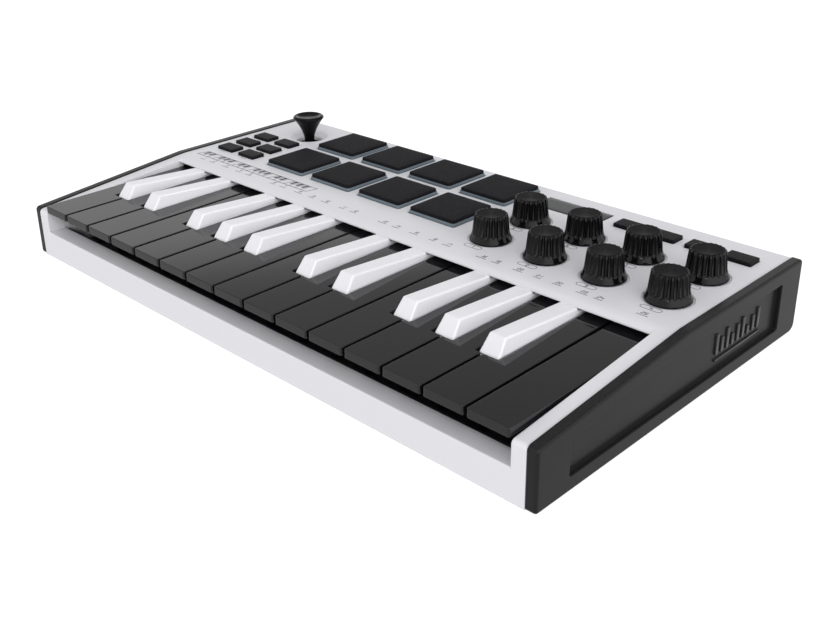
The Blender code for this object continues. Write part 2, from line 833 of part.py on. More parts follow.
def buildCircuitBoard():
    """The circuit board with what is soldered to it: encoders, switches, sensors and sockets."""
    bm = bmesh.new()
    addBox(
        bm,
        (-boardHalf, fromFront(boardFront), fromUnder(boardUnder)),
        (boardHalf, fromFront(boardBack), fromUnder(boardTop)),
    )
    board = addPart("circuit_board", meshFrom(bm, "circuit_board"), boardGreen)

    sink = boardThickness / 4
    low = fromUnder(boardTop - sink)
    high = fromUnder(boardUnder + sink)
    stickX, stickY = stickCentre()
    moduleHalf = moduleInner + moduleWall
    rim = fromUnder(stickPivot + moduleRise)
    bm = bmesh.new()
    for x, y in knobCentres():
        top = fromUnder(boardTop + encoderHeight)
        addBlock(bm, x, y, encoderWidth / 2, encoderWidth / 2, low, top)
    for x, y in padCentres():
        top = fromUnder(boardTop + sensorThickness)
        addBlock(bm, x, y, sensorWidth / 2, sensorWidth / 2, low, top)
    for x, y in [*leftButtonCentres(), *rightButtonCentres()]:
        top = fromUnder(boardTop + switchHeight)
        addBlock(bm, x, y, switchWidth / 2, switchWidth / 2, low, top)
    x, y = displayCentre()
    top = fromUnder(panelUnder - partGap)
    addBlock(bm, x, y, displayWidth / 2, displayDepth / 2, low, top)
    addBlock(bm, stickX, stickY, moduleHalf, moduleHalf, low, rim)
    socketBack = overallDepth - socketSetback
    usbX = fromLeft(usbFromLeft)
    usbLow = fromUnder(boardUnder - usbHeight)
    addBox(
        bm,
        (usbX - usbWidth / 2, fromFront(socketBack - usbLength), usbLow),
        (usbX + usbWidth / 2, fromFront(socketBack), high),
    )
    jackX = fromLeft(jackFromLeft)
    jackBack = overallDepth - wall - socketWallGap
    addBox(
        bm,
        (
            jackX - jackWidth / 2,
            fromFront(jackBack - jackLength),
            fromUnder(boardUnder - jackHeight),
        ),
        (jackX + jackWidth / 2, fromFront(jackBack), high),
    )
    join(board, bm, "soldered_parts")

    bm = bmesh.new()
    for x, y in knobCentres():
        start = (x, y, fromUnder(boardTop + encoderHeight - sink))
        length = encoderTop - boardTop - encoderHeight + sink
        addRod(bm, "Z", start, length, knobShaftRadius, 12)
    start = (jackX, fromFront(jackBack - wall), fromUnder(jackAxisHeight))
    addRod(bm, "Y", start, socketBack - jackBack + wall, jackBushRadius, 16)
    join(board, bm, "bushes")

    bm = bmesh.new()
    floor = fromUnder(boardTop + moduleFloor)
    addBlock(bm, stickX, stickY, moduleInner, moduleInner, floor, rim + beyond)
    usbMiddle = fromUnder(boardUnder - usbHeight / 2)
    addBox(
        bm,
        (
            usbX - usbHoleWidth / 2,
            fromFront(socketBack - usbHoleDepth),
            usbMiddle - usbHoleHeight / 2,
        ),
        (usbX + usbHoleWidth / 2, fromFront(socketBack) + wall, usbMiddle + usbHoleHeight / 2),
    )
    start = (jackX, fromFront(socketBack - jackBoreDepth), fromUnder(jackAxisHeight))
    addRod(bm, "Y", start, jackBoreDepth + wall, jackBoreRadius, 16)
    cut(board, bm, "socket_and_module_rooms")

    bm = bmesh.new()
    start = (stickX, stickY - moduleHalf - wall, fromUnder(stickPivot))
    addRod(bm, "Y", start, 2 * (moduleHalf + wall), yokePinRadius + partGap, 8)
    for x, y in innerBosses():
        start = (x, y, fromUnder(boardUnder - wall))
        addRod(bm, "Z", start, boardThickness + 2 * wall, bossRadius + bossHoleGap, 12)
    cut(board, bm, "gimbal_bearings_and_boss_holes")


def buildNaturals():
    """The natural keys. Each is built about its hinge axis."""
    slabTop = naturalTop - hingeHeight
    slabLow = slabTop - keyThickness
    middle = Matrix.Translation((0.0, 0.0, (slabTop + slabLow) / 2))
    front = naturalFront - hingePlace
    notch = notchFront - hingePlace
    for index in range(naturalCount):
        left, right, tailLeft, tailRight = naturalSpan(index)
        centre = (left + right) / 2
        outline = [
            (left - centre, front, keyCornerRadius),
            (right - centre, front, keyCornerRadius),
        ]
        if tailRight < right:
            outline += [(right - centre, notch, 0.0), (tailRight - centre, notch, 0.0)]
        outline += [
            (tailRight - centre, barrelRadius, 0.0),
            (tailLeft - centre, barrelRadius, 0.0),
        ]
        if tailLeft > left:
            outline += [(tailLeft - centre, notch, 0.0), (left - centre, notch, 0.0)]
        name = f"natural_key_{index + 1:02d}"
        mesh = outlineMesh(name, [rounded(outline, 2)], keyThickness, middle)
        place = (centre, fromFront(hingePlace), fromUnder(hingeHeight))
        key = addPart(name, mesh, keyBlack, place)
        addKeyHinge(key, tailLeft - centre, tailRight - centre, slabLow)


def addKeyHinge(key, left, right, slabLow):
    """Joins the hinge barrel, and the block above it, to a key."""
    bm = bmesh.new()
    addBox(
        bm,
        (left, -barrelRadius + partGap / 2, partGap),
        (right, barrelRadius - partGap / 2, slabLow + keyThickness / 4),
    )
    join(key, bm, key.name + "_block")
    bm = bmesh.new()
    addRod(bm, "X", (left + partGap, 0.0, 0.0), right - left - 2 * partGap, barrelRadius, 10)
    join(key, bm, key.name + "_barrel")


def buildSharps():
    """The sharp keys: tapered, highest at the front, with a low tail under the panel."""
    top = naturalTop - hingeHeight
    low = top - keyThickness
    front = notchFront + keyGap - hingePlace
    rear = openingBack - sharpRearClearance - hingePlace
    skirt = top - sharpSkirt
    taper = (sharpWidth - sharpTopWidth) / 2 / (sharpHeight + sharpSkirt)
    rearHalf = sharpWidth / 2 - taper * (sharpRearHeight + sharpSkirt)
    for number, centre in enumerate(sharpPlaces().values(), start=1):
        name = f"sharp_key_{number:02d}"
        bm = bmesh.new()
        addBox(bm, (-sharpWidth / 2, front, skirt), (sharpWidth / 2, rear, top + sharpHeight))
        for vert in bm.verts:
            if vert.co.z < top:
                continue
            side = math.copysign(1.0, vert.co.x)
            if vert.co.y > (front + rear) / 2:
                vert.co.x = side * rearHalf
                vert.co.z = top + sharpRearHeight
            else:
                vert.co.x = side * sharpTopWidth / 2
                vert.co.y += sharpFrontSlope
        place = (centre, fromFront(hingePlace), fromUnder(hingeHeight))
        key = addPart(name, meshFrom(bm, name), keyWhite, place)
        bm = bmesh.new()
        half = sharpWidth / 2
        addBox(bm, (-half, front, low), (half, rear, skirt + partGap / 10))
        join(key, bm, name + "_lever")
        bm = bmesh.new()
        addBox(bm, (-half, rear - keyThickness, low), (half, barrelRadius, top + sharpTailRise))
        join(key, bm, name + "_tail")
        addKeyHinge(key, -half, half, low)


def buildPads():
    """The drum pads: a soft cap, a base that shows round it, a flange and a foot."""
    mesh = None
    for number, (x, y) in enumerate(padCentres(), start=1):
        name = f"drum_pad_{number}"
        place = (x, y, fromUnder(panelHeight))
        if mesh:
            addPart(name, mesh, padRubber, place)
            continue
        bm = bmesh.new()
        halfX = padWidth / 2
        halfY = padDepth / 2
        addBox(bm, (-halfX, -halfY, padFoot - panelHeight), (halfX, halfY, padProud))
        flangeTop = padFlangeTop - panelHeight
        flangeLow = flangeTop - padFlangeThickness
        corners = [edge for edge in bm.edges if max(v.co.z for v in edge.verts) > 0]
        bmesh.ops.bevel(bm, geom=corners, offset=padEdge, segments=1, affect="EDGES")
        pad = addPart(name, meshFrom(bm, name), padRubber, place)
        bm = bmesh.new()
        hole = padBaseBorder + padHoleGap + padFlange
        addBlock(bm, 0.0, 0.0, halfX + hole, halfY + hole, flangeLow, flangeTop)
        join(pad, bm, name + "_flange")
        bm = bmesh.new()
        baseX = halfX + padBaseBorder
        baseY = halfY + padBaseBorder
        addBlock(bm, 0.0, 0.0, baseX, baseY, flangeLow + padEdge, padBaseRise)
        join(pad, bm, name + "_base")
        mesh = applied(pad)


def buildKnobs():
    """The knobs: turned, with a flared base, over a stub of shaft."""
    bottom = knobBottom - panelHeight
    shaftLow = encoderTop + partGap - panelHeight
    profile = [
        (0.0, knobHeight),
        (knobTopRadius - knobTopEdge, knobHeight),
        (knobTopRadius, knobHeight - knobTopEdge),
        (knobNeckRadius, bottom + knobFlareHeight),
        (knobBaseRadius, bottom + knobBaseThickness),
        (knobBaseRadius, bottom),
        (knobShaftRadius, bottom),
        (knobShaftRadius, shaftLow),
        (0.0, shaftLow),
    ]
    mesh = turnedMesh("knob", profile, 24)
    for number, (x, y) in enumerate(knobCentres(), start=1):
        addPart(f"knob_{number}", mesh, knobBlack, (x, y, fromUnder(panelHeight)))


def turnedMesh(name, profile, steps):
    """Turns (radius, height) points, top to bottom, about the Z axis."""
    bm = bmesh.new()
    verts = [bm.verts.new((radius, 0.0, height)) for radius, height in profile]
    for above, below in zip(verts, verts[1:]):
        bm.edges.new((above, below))
    holder = bpy.data.objects.new(name, meshFrom(bm, name + "_profile"))
    cutterCollection.objects.link(holder)
    screw = holder.modifiers.new("turn", "SCREW")
    screw.axis = "Z"
    screw.steps = steps
    screw.render_steps = steps
    screw.use_merge_vertices = True
    screw.merge_threshold = 0.01 * mm
    mesh = applied(holder)
    mesh.name = name
    bpy.data.objects.remove(holder)
    mesh.shade_smooth()
    mesh.set_sharp_from_angle(angle=math.radians(30))
    return mesh


def buildButtons():
    """The buttons: a cap through the panel, a flange under it and a stem over its switch."""
    bm = bmesh.new()
    halfX = buttonWidth / 2
    halfY = buttonDepth / 2
    flangeTop = buttonFlangeTop - panelHeight
    flangeLow = flangeTop - buttonFlangeThickness
    addBlock(bm, 0.0, 0.0, halfX, halfY, flangeLow + partGap, buttonProud)
    first = addPart("button", meshFrom(bm, "button"), buttonBlack)
    bm = bmesh.new()
    hole = buttonHoleGap + buttonFlange
    addBlock(bm, 0.0, 0.0, halfX + hole, halfY + hole, flangeLow, flangeTop)
    join(first, bm, "button_flange")
    bm = bmesh.new()
    stem = buttonStem / 2
    addBlock(bm, 0.0, 0.0, stem, stem, buttonFoot - panelHeight, flangeTop - partGap)
    join(first, bm, "button_stem")
    mesh = applied(first)
    bpy.data.objects.remove(first)
    height = fromUnder(panelHeight)
    for number, (x, y) in enumerate(leftButtonCentres(), start=1):
        addPart(f"left_button_{number}", mesh, buttonBlack, (x, y, height))
    for number, (x, y) in enumerate(rightButtonCentres(), start=1):
        addPart(f"right_button_{number}", mesh, buttonBlack, (x, y, height))


def buildDisplayWindow():
    """The display window in its rebate in the panel."""
    bm = bmesh.new()
    x, y = displayCentre()
    top = fromUnder(panelHeight - displaySetback)
    low = top - displayThickness
    addBlock(bm, x, y, displayWidth / 2, displayDepth / 2, low, top)
    addPart("display_window", meshFrom(bm, "display_window"), windowSmoke)


def buildThumbstick():
    """The thumbstick and the gimbal yoke that it tilts in."""
    stickX, stickY = stickCentre()
    place = (stickX, stickY, fromUnder(stickPivot))

    bm = bmesh.new()
    addBlock(bm, 0.0, 0.0, yokeHalf, yokeHalf, -yokeHalfHeight, yokeHalfHeight)
    yoke = addPart("thumbstick_gimbal", meshFrom(bm, "thumbstick_gimbal"), frameBlack, place)
    bm = bmesh.new()
    reach = moduleInner + moduleWall - partGap
    addRod(bm, "Y", (0.0, -reach, 0.0), 2 * reach, yokePinRadius, 8)
    join(yoke, bm, "yoke_pins")
    bm = bmesh.new()
    addBlock(bm, 0.0, 0.0, yokeInner, yokeInner, -beyond, beyond)
    cut(yoke, bm, "yoke_window")
    bm = bmesh.new()
    addRod(bm, "X", (-2 * yokeHalf, 0.0, 0.0), 4 * yokeHalf, stickPinRadius + partGap, 8)
    cut(yoke, bm, "yoke_bearings")

    top = stickPivotDrop + stickHeight
    waist = stickPivotDrop - dishDepth
    rise = top - stickRimDrop - waist
    profile = [(0.0, top - 2 * stickRimDrop / 3), (stickRimRadius * 0.62, top - stickRimDrop / 3)]
    profile.append((stickRimRadius * 0.8, top))
    profile.append((stickRimRadius, top - stickRimDrop))
    flareSteps = 4
    for step in range(1, flareSteps + 1):
        share = step / flareSteps
        flare = (1.0 - share) ** 1.8
        radius = stickWaistRadius + (stickRimRadius - stickWaistRadius) * flare
        profile.append((radius, waist + rise * (1.0 - share)))
    profile.append((stickStemRadius, waist - 2 * stickWaistRadius / 3))
    profile.append((stickStemRadius, 0.0))
    profile.append((0.0, 0.0))
    mesh = turnedMesh("thumbstick", profile, 20)
    stick = addPart("thumbstick", mesh, knobBlack, place)
    bm = bmesh.new()
    bmesh.ops.create_uvsphere(bm, u_segments=12, v_segments=8, radius=stickHubRadius)
    join(stick, bm, "stick_hub")
    bm = bmesh.new()
    reach = yokeHalf - partGap
    addRod(bm, "X", (-reach, 0.0, 0.0), 2 * reach, stickPinRadius, 8)
    join(stick, bm, "stick_pins")


buildTopCase()
buildBottomCover()
buildEndPanel("left_end_panel", -1)
buildEndPanel("right_end_panel", 1)
buildKeybedFrame()
buildCircuitBoard()
buildNaturals()
buildSharps()
buildPads()
buildKnobs()
buildButtons()
buildDisplayWindow()
buildThumbstick()
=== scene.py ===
import json
import math

import bmesh
import bpy
from mathutils import Matrix, Vector


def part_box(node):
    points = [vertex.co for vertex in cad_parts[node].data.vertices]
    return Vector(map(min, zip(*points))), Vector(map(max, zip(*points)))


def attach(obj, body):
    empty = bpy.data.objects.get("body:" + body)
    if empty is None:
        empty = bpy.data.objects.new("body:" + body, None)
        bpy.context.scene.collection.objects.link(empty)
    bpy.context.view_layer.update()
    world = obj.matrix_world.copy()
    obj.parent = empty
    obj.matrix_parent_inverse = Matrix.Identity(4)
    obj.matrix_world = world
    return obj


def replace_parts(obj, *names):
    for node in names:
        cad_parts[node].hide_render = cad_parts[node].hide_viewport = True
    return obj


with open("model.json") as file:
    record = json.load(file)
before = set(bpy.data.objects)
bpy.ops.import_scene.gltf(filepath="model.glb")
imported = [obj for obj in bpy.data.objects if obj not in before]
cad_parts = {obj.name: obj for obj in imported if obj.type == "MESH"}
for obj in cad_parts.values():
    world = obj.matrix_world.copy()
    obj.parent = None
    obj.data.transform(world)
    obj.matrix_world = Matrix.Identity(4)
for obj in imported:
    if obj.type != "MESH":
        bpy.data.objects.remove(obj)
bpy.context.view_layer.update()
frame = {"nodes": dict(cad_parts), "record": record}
nodes = frame["nodes"]
mm = 0.001
print("frame loaded,", len(nodes), "nodes")


def centreOf(node):
    low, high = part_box(node)
    return (low + high) / 2


def numbered(stem, count, width=1):
    return [f"{stem}_{index:0{width}d}" for index in range(1, count + 1)]


def inMm(points):
    return [tuple(value * mm for value in point) for point in points]


def meshOf(bm, name):
    bmesh.ops.recalc_face_normals(bm, faces=bm.faces)
    mesh = bpy.data.meshes.new(name)
    bm.to_mesh(mesh)
    bm.free()
    return mesh


def smoothBelow(mesh, degrees):
    mesh.shade_smooth()
    mesh.set_sharp_from_angle(angle=math.radians(degrees))


def addPiece(name, shape, material, body, place=(0.0, 0.0, 0.0), smooth=32):
    # the shape is a mesh that pieces share, or a bmesh of the piece's own
    mesh = meshOf(shape, name) if isinstance(shape, bmesh.types.BMesh) else shape
    piece = bpy.data.objects.new(name, mesh)
    piece.location = place
    bpy.context.scene.collection.objects.link(piece)
    if not mesh.materials:
        mesh.materials.append(material)
        if smooth:
            smoothBelow(mesh, smooth)
    if body:
        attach(piece, body)
    return piece


def evenNormals(piece):
    weigh = piece.modifiers.new("even_normals", "WEIGHTED_NORMAL")
    weigh.keep_sharp = True
    weigh.weight = 90
    return piece


def roundCorners(corners, steps=5):
    # (x, y, radius) corners in, outline points out, with each corner as an arc
    points = []
    for index, (x, y, radius) in enumerate(corners):
        here = Vector((x, y))
        before = (Vector(corners[index - 1][:2]) - here).normalized()
        after = (Vector(corners[(index + 1) % len(corners)][:2]) - here).normalized()
        if radius <= 0.0:
            points.append(here)
            continue
        half = before.angle(after) / 2
        middle = here + (before + after).normalized() * (radius / math.sin(half))
        start = here + before * (radius / math.tan(half)) - middle
        finish = here + after * (radius / math.tan(half)) - middle
        sweep = start.angle_signed(finish)
        for step in range(steps + 1):
            points.append(middle + Matrix.Rotation(-sweep * step / steps, 2) @ start)
    return points


def rectangle(halfX, halfY, radius=0.0, steps=5, x=0.0, y=0.0):
    corners = [(-halfX, -halfY), (halfX, -halfY), (halfX, halfY), (-halfX, halfY)]
    return roundCorners([(x + cx, y + cy, radius) for cx, cy in corners], steps)


def ring(radius, count, x=0.0, y=0.0):
    turn = 2 * math.pi / count
    return [
        Vector((x + radius * math.cos(turn * i), y + radius * math.sin(turn * i)))
        for i in range(count)
    ]


def joinRows(bm, rows):
    # a band of quads between each closed row of points and the next
    made = []
    for below, above in zip(rows, rows[1:]):
        count = len(below)
        for i in range(count):
            j = (i + 1) % count
            made.append(bm.faces.new((below[i], below[j], above[j], above[i])))
    return made


def rowsOf(bm, outlines):
    return [[bm.verts.new((p[0], p[1], z)) for p in outline] for outline, z in outlines]


def loft(bm, outlines):
    # joins outlines of equal point counts, given as (outline, height), from low to high
    rows = rowsOf(bm, outlines)
    return joinRows(bm, rows) + [bm.faces.new(list(reversed(rows[0]))), bm.faces.new(rows[-1])]


def box(bm, low, high):
    low = Vector(low)
    high = Vector(high)
    outline = [(low.x, low.y), (high.x, low.y), (high.x, high.y), (low.x, high.y)]
    return loft(bm, [(outline, low.z), (outline, high.z)])


def turned(bm, profile, count, middle=(0.0, 0.0)):
    # turns (radius, height) points about the Z axis; a radius of 0 closes the end
    rows = []
    for radius, z in profile:
        if radius == 0.0:
            rows.append([bm.verts.new((middle[0], middle[1], z))])
        else:
            rows.append([bm.verts.new((p.x, p.y, z)) for p in ring(radius, count, *middle)])
    for a, b in zip(rows, rows[1:]):
        for i in range(count):
            j = (i + 1) % count
            around = [a[i % len(a)], a[j % len(a)], b[j % len(b)], b[i % len(b)]]
            bm.faces.new(list(dict.fromkeys(around)))


def softEdges(bm, offset, segments, chosen):
    bmesh.ops.recalc_face_normals(bm, faces=bm.faces)
    edges = [edge for edge in bm.edges if len(edge.link_faces) == 2 and chosen(edge)]
    bmesh.ops.bevel(
        bm,
        geom=edges,
        offset=offset,
        offset_type="OFFSET",
        segments=segments,
        profile=0.5,
        affect="EDGES",
        clamp_overlap=True,
    )


def sharpEdge(edge, degrees=30):
    return edge.calc_face_angle(0.0) > math.radians(degrees)


def combine(mesh, other, operation):
    # one exact Boolean, applied, between two meshes in the same space
    holder = bpy.data.objects.new("holder", mesh)
    tool = bpy.data.objects.new("tool", other)
    for obj in (holder, tool):
        bpy.context.scene.collection.objects.link(obj)
    modifier = holder.modifiers.new("combine", "BOOLEAN")
    modifier.operation = operation
    modifier.solver = "EXACT"
    modifier.object = tool
    bpy.context.view_layer.update()
    graph = bpy.context.evaluated_depsgraph_get()
    made = bpy.data.meshes.new_from_object(holder.evaluated_get(graph))
    bpy.data.objects.remove(holder)
    bpy.data.objects.remove(tool)
    return made


upright = Matrix(((0, 0, 1, 0), (1, 0, 0, 0), (0, 1, 0, 0), (0, 0, 0, 1)))  # (y, z, x) to (x, y, z)
toBack = Matrix(((1, 0, 0, 0), (0, 0, 1, 0), (0, 1, 0, 0), (0, 0, 0, 1)))  # Z turned to +Y


def newGroup(name, inputs, outputs):
    # a group with named inputs, each a number or a colour, and named outputs
    group = bpy.data.node_groups.new(name, "ShaderNodeTree")
    for label, value in inputs.items():
        kind = "NodeSocketFloat" if isinstance(value, float) else "NodeSocketColor"
        group.interface.new_socket(name=label, in_out="INPUT", socket_type=kind).default_value = value
    for label, kind in outputs.items():
        group.interface.new_socket(name=label, in_out="OUTPUT", socket_type="NodeSocket" + kind)
    return group, group.nodes.new("NodeGroupInput"), group.nodes.new("NodeGroupOutput")


def addNode(tree, kind, values, **settings):
    # one shader node; each value is a number, a colour or another node's output
    node = tree.nodes.new("ShaderNode" + kind)
    for key, value in settings.items():
        setattr(node, key, value)
    for key, value in values.items():
        if isinstance(value, bpy.types.NodeSocket):
            tree.links.new(value, node.inputs[key])
        else:
            node.inputs[key].default_value = value
    return node


def mathNode(tree, operation, a, b):
    return addNode(tree, "Math", {0: a, 1: b}, operation=operation).outputs["Value"]


def noiseNode(tree, place, scale, detail, rough=0.5):
    values = {"Vector": place, "Scale": scale, "Detail": detail, "Roughness": rough}
    return addNode(tree, "TexNoise", values).outputs["Fac"]


def mixColours(tree, share, a, b):
    return addNode(tree, "Mix", {"Factor": share, "A": a, "B": b}, data_type="RGBA").outputs["Result"]


def objectPlace(tree):
    return addNode(tree, "TexCoord", {}).outputs["Object"]


def makeMouldGrain():
    # fine spark-eroded texture of a moulding, as a height
    inputs = {"Grain Scale": 2500.0, "Ripple Scale": 120.0}
    group, start, end = newGroup("mould_grain", inputs, {"Height": "Float"})
    place = objectPlace(group)
    grain = noiseNode(group, place, start.outputs["Grain Scale"], 2.0, 0.6)
    ripple = noiseNode(group, place, start.outputs["Ripple Scale"], 2.0)
    mixed = mathNode(group, "ADD", grain, mathNode(group, "MULTIPLY", ripple, 0.35))
    group.links.new(mixed, end.inputs["Height"])
    return group


def makeHandling():
    # roughness with the faint smears that handling leaves
    inputs = {"Roughness": 0.4, "Smear": 0.1, "Smear Scale": 30.0}
    group, start, end = newGroup("handling", inputs, {"Roughness": "Float"})
    smear = noiseNode(group, objectPlace(group), start.outputs["Smear Scale"], 5.0, 0.65)
    swing = mathNode(group, "SUBTRACT", smear, 0.5)
    swing = mathNode(group, "MULTIPLY", swing, start.outputs["Smear"])
    group.links.new(mathNode(group, "ADD", start.outputs["Roughness"], swing), end.inputs["Roughness"])
    return group


def makePaintedEdgeHighlight():
    # a mask that rises along edges, used to paint a highlight along them, and a normal that rounds them a
    # little
    group, start, end = newGroup("painted_edge_highlight", {"Gain": 3.0}, {"Mask": "Float", "Normal": "Vector"})
    bevel = addNode(group, "Bevel", {"Radius": 0.3 * mm}, samples=4).outputs["Normal"]
    shape = addNode(group, "NewGeometry", {}).outputs["Normal"]
    dot = addNode(group, "VectorMath", {0: bevel, 1: shape}, operation="DOT_PRODUCT")
    off = mathNode(group, "SUBTRACT", 1.0, dot.outputs["Value"])
    mask = addNode(group, "Clamp", {"Value": mathNode(group, "MULTIPLY", off, start.outputs["Gain"])})
    group.links.new(mask.outputs["Result"], end.inputs["Mask"])
    group.links.new(bevel, end.inputs["Normal"])
    return group


def makeToneDrift():
    # slow drift between two close colours, with dust on what faces up
    grey = (0.5, 0.5, 0.5, 1.0)
    inputs = {"Colour": grey, "Drift Colour": grey, "Dust Colour": (0.6, 0.6, 0.6, 1.0),
              "Dust": 0.02, "Drift Scale": 14.0}
    group, start, end = newGroup("tone_drift", inputs, {"Colour": "Color"})
    place = objectPlace(group)
    share = noiseNode(group, place, start.outputs["Drift Scale"], 3.0)
    drift = mixColours(group, share, start.outputs["Colour"], start.outputs["Drift Colour"])
    shape = addNode(group, "NewGeometry", {}).outputs["Normal"]
    split = addNode(group, "SeparateXYZ", {"Vector": shape})
    up = mathNode(group, "MAXIMUM", split.outputs["Z"], 0.0)
    specks = noiseNode(group, place, 900.0, 4.0, 0.7)
    specks = mathNode(group, "MAXIMUM", mathNode(group, "SUBTRACT", specks, 0.45), 0.0)
    amount = mathNode(group, "MULTIPLY", mathNode(group, "MULTIPLY", specks, up), start.outputs["Dust"])
    dusty = mixColours(group, amount, drift, start.outputs["Dust Colour"])
    group.links.new(dusty, end.inputs["Colour"])
    return group


mouldGrain = makeMouldGrain()
handling = makeHandling()
paintedEdgeHighlight = makePaintedEdgeHighlight()
toneDrift = makeToneDrift()


# what a finish has unless its own row says otherwise
plainFinish = {"smear": 0.1, "coat": 0.0, "dust": 0.05, "metallic": 0.0, "specular": 0.5, "bend": 1.5,
               "spun": 0.0}
# each finish's edge colour is lighter than its body colour and is a painted highlight along the edges
finishes = {
    "shell_white": {
        "colour": (0.715, 0.713, 0.745), "drift": (0.705, 0.703, 0.735), "edge": (0.78, 0.78, 0.81),
        "roughness": 0.42, "smear": 0.06, "grain": 1800.0, "bump": 0.012, "dust": 0.03,
    },
    "cover_white": {
        "colour": (0.7, 0.7, 0.72), "drift": (0.68, 0.68, 0.7), "edge": (0.74, 0.74, 0.76),
        "roughness": 0.55, "smear": 0.08, "grain": 900.0, "bump": 0.05,
    },
    "end_panel": {
        "colour": (0.013, 0.013, 0.0135), "drift": (0.011, 0.011, 0.0115), "edge": (0.022, 0.022, 0.023),
        "roughness": 0.3, "smear": 0.08, "grain": 2200.0, "bump": 0.01, "bend": 1.26,
    },
    "natural_gloss": {
        "colour": (0.006, 0.006, 0.007), "drift": (0.005, 0.005, 0.006), "edge": (0.01, 0.01, 0.011),
        "roughness": 0.06, "smear": 0.03, "grain": 900.0, "bump": 0.0008, "dust": 0.03, "specular": 0.45,
    },
    "sharp_white": {
        "colour": (0.81, 0.805, 0.84), "drift": (0.8, 0.795, 0.83), "edge": (0.87, 0.865, 0.89),
        "roughness": 0.34, "smear": 0.08, "grain": 1500.0, "bump": 0.006, "coat": 0.15, "dust": 0.02,
    },
    "pad_rubber": {
        "colour": (0.007, 0.007, 0.009), "drift": (0.006, 0.006, 0.008), "edge": (0.01, 0.01, 0.012),
        "roughness": 0.62, "grain": 3000.0, "bump": 0.06, "dust": 0.06, "specular": 0.08,
    },
    "pad_skirt": {
        "colour": (0.115, 0.145, 0.17), "drift": (0.1, 0.13, 0.155), "edge": (0.17, 0.2, 0.23),
        "roughness": 0.38, "smear": 0.06, "grain": 1500.0, "bump": 0.01, "coat": 0.2,
    },
    "knob_gloss": {
        "colour": (0.003, 0.003, 0.0035), "drift": (0.002, 0.002, 0.0025), "edge": (0.005, 0.005, 0.006),
        "roughness": 0.11, "smear": 0.05, "grain": 1200.0, "bump": 0.002, "dust": 0.02, "specular": 0.22,
    },
    "stick_gloss": {
        "colour": (0.003, 0.003, 0.0035), "drift": (0.002, 0.002, 0.0025), "edge": (0.004, 0.004, 0.0045),
        "roughness": 0.07, "smear": 0.04, "grain": 900.0, "bump": 0.001, "dust": 0.02, "bend": 1.2,
    },
    "knob_top": {
        "colour": (0.005, 0.005, 0.006), "drift": (0.004, 0.004, 0.005), "edge": (0.008, 0.008, 0.009),
        "bend": 1.09, "roughness": 0.3, "smear": 0.06, "grain": 1500.0, "bump": 0.01, "spun": 0.85,
    },
    "button_rubber": {
        "colour": (0.006, 0.006, 0.007), "drift": (0.005, 0.005, 0.006), "edge": (0.01, 0.01, 0.011),
        "roughness": 0.5, "grain": 2600.0, "bump": 0.04, "specular": 0.1,
    },
    "frame_black": {
        "colour": (0.014, 0.014, 0.015), "drift": (0.01, 0.01, 0.011), "edge": (0.02, 0.02, 0.021),
        "roughness": 0.6, "grain": 1800.0, "bump": 0.03, "dust": 0.1,
    },
    "circuit_board": {
        "colour": (0.015, 0.075, 0.035), "drift": (0.01, 0.055, 0.026), "edge": (0.1, 0.11, 0.06),
        "roughness": 0.35, "grain": 600.0, "bump": 0.03, "coat": 0.3, "dust": 0.1,
    },
    "display_smoke": {
        "colour": (0.012, 0.013, 0.016), "drift": (0.01, 0.011, 0.014), "edge": (0.03, 0.03, 0.034),
        "roughness": 0.08, "smear": 0.05, "grain": 400.0, "bump": 0.001, "dust": 0.03, "specular": 0.35,
    },
    "display_screen": {
        "colour": (0.016, 0.018, 0.021), "drift": (0.013, 0.015, 0.018), "edge": (0.02, 0.02, 0.023),
        "roughness": 0.16, "smear": 0.05, "grain": 500.0, "bump": 0.001, "dust": 0.03, "specular": 0.25,
    },
    "end_mark": {
        "colour": (0.014, 0.014, 0.015), "drift": (0.011, 0.011, 0.012), "edge": (0.03, 0.03, 0.031),
        "roughness": 0.22, "smear": 0.06, "grain": 1500.0, "bump": 0.01, "coat": 0.2,
    },
    "print_ink": {
        "colour": (0.035, 0.035, 0.04), "drift": (0.05, 0.05, 0.055), "edge": (0.05, 0.05, 0.055),
        "roughness": 0.55, "grain": 2500.0, "bump": 0.02, "dust": 0.02,
    },
    "foot_rubber": {
        "colour": (0.02, 0.02, 0.021), "drift": (0.028, 0.028, 0.028), "edge": (0.05, 0.05, 0.05),
        "roughness": 0.8, "grain": 1200.0, "bump": 0.1, "dust": 0.4,
    },
    "screw_steel": {
        "colour": (0.1, 0.1, 0.105), "drift": (0.07, 0.07, 0.075), "edge": (0.35, 0.35, 0.35),
        "roughness": 0.35, "smear": 0.15, "grain": 900.0, "bump": 0.02, "metallic": 1.0,
    },
    "socket_steel": {
        "colour": (0.55, 0.55, 0.56), "drift": (0.48, 0.48, 0.49), "edge": (0.75, 0.75, 0.75),
        "roughness": 0.28, "smear": 0.15, "grain": 700.0, "bump": 0.01, "metallic": 1.0,
    },
    "contact_gold": {
        "colour": (0.75, 0.52, 0.2), "drift": (0.68, 0.46, 0.17), "edge": (0.85, 0.65, 0.3),
        "roughness": 0.25, "grain": 700.0, "bump": 0.01, "dust": 0.02, "metallic": 1.0,
    },
}


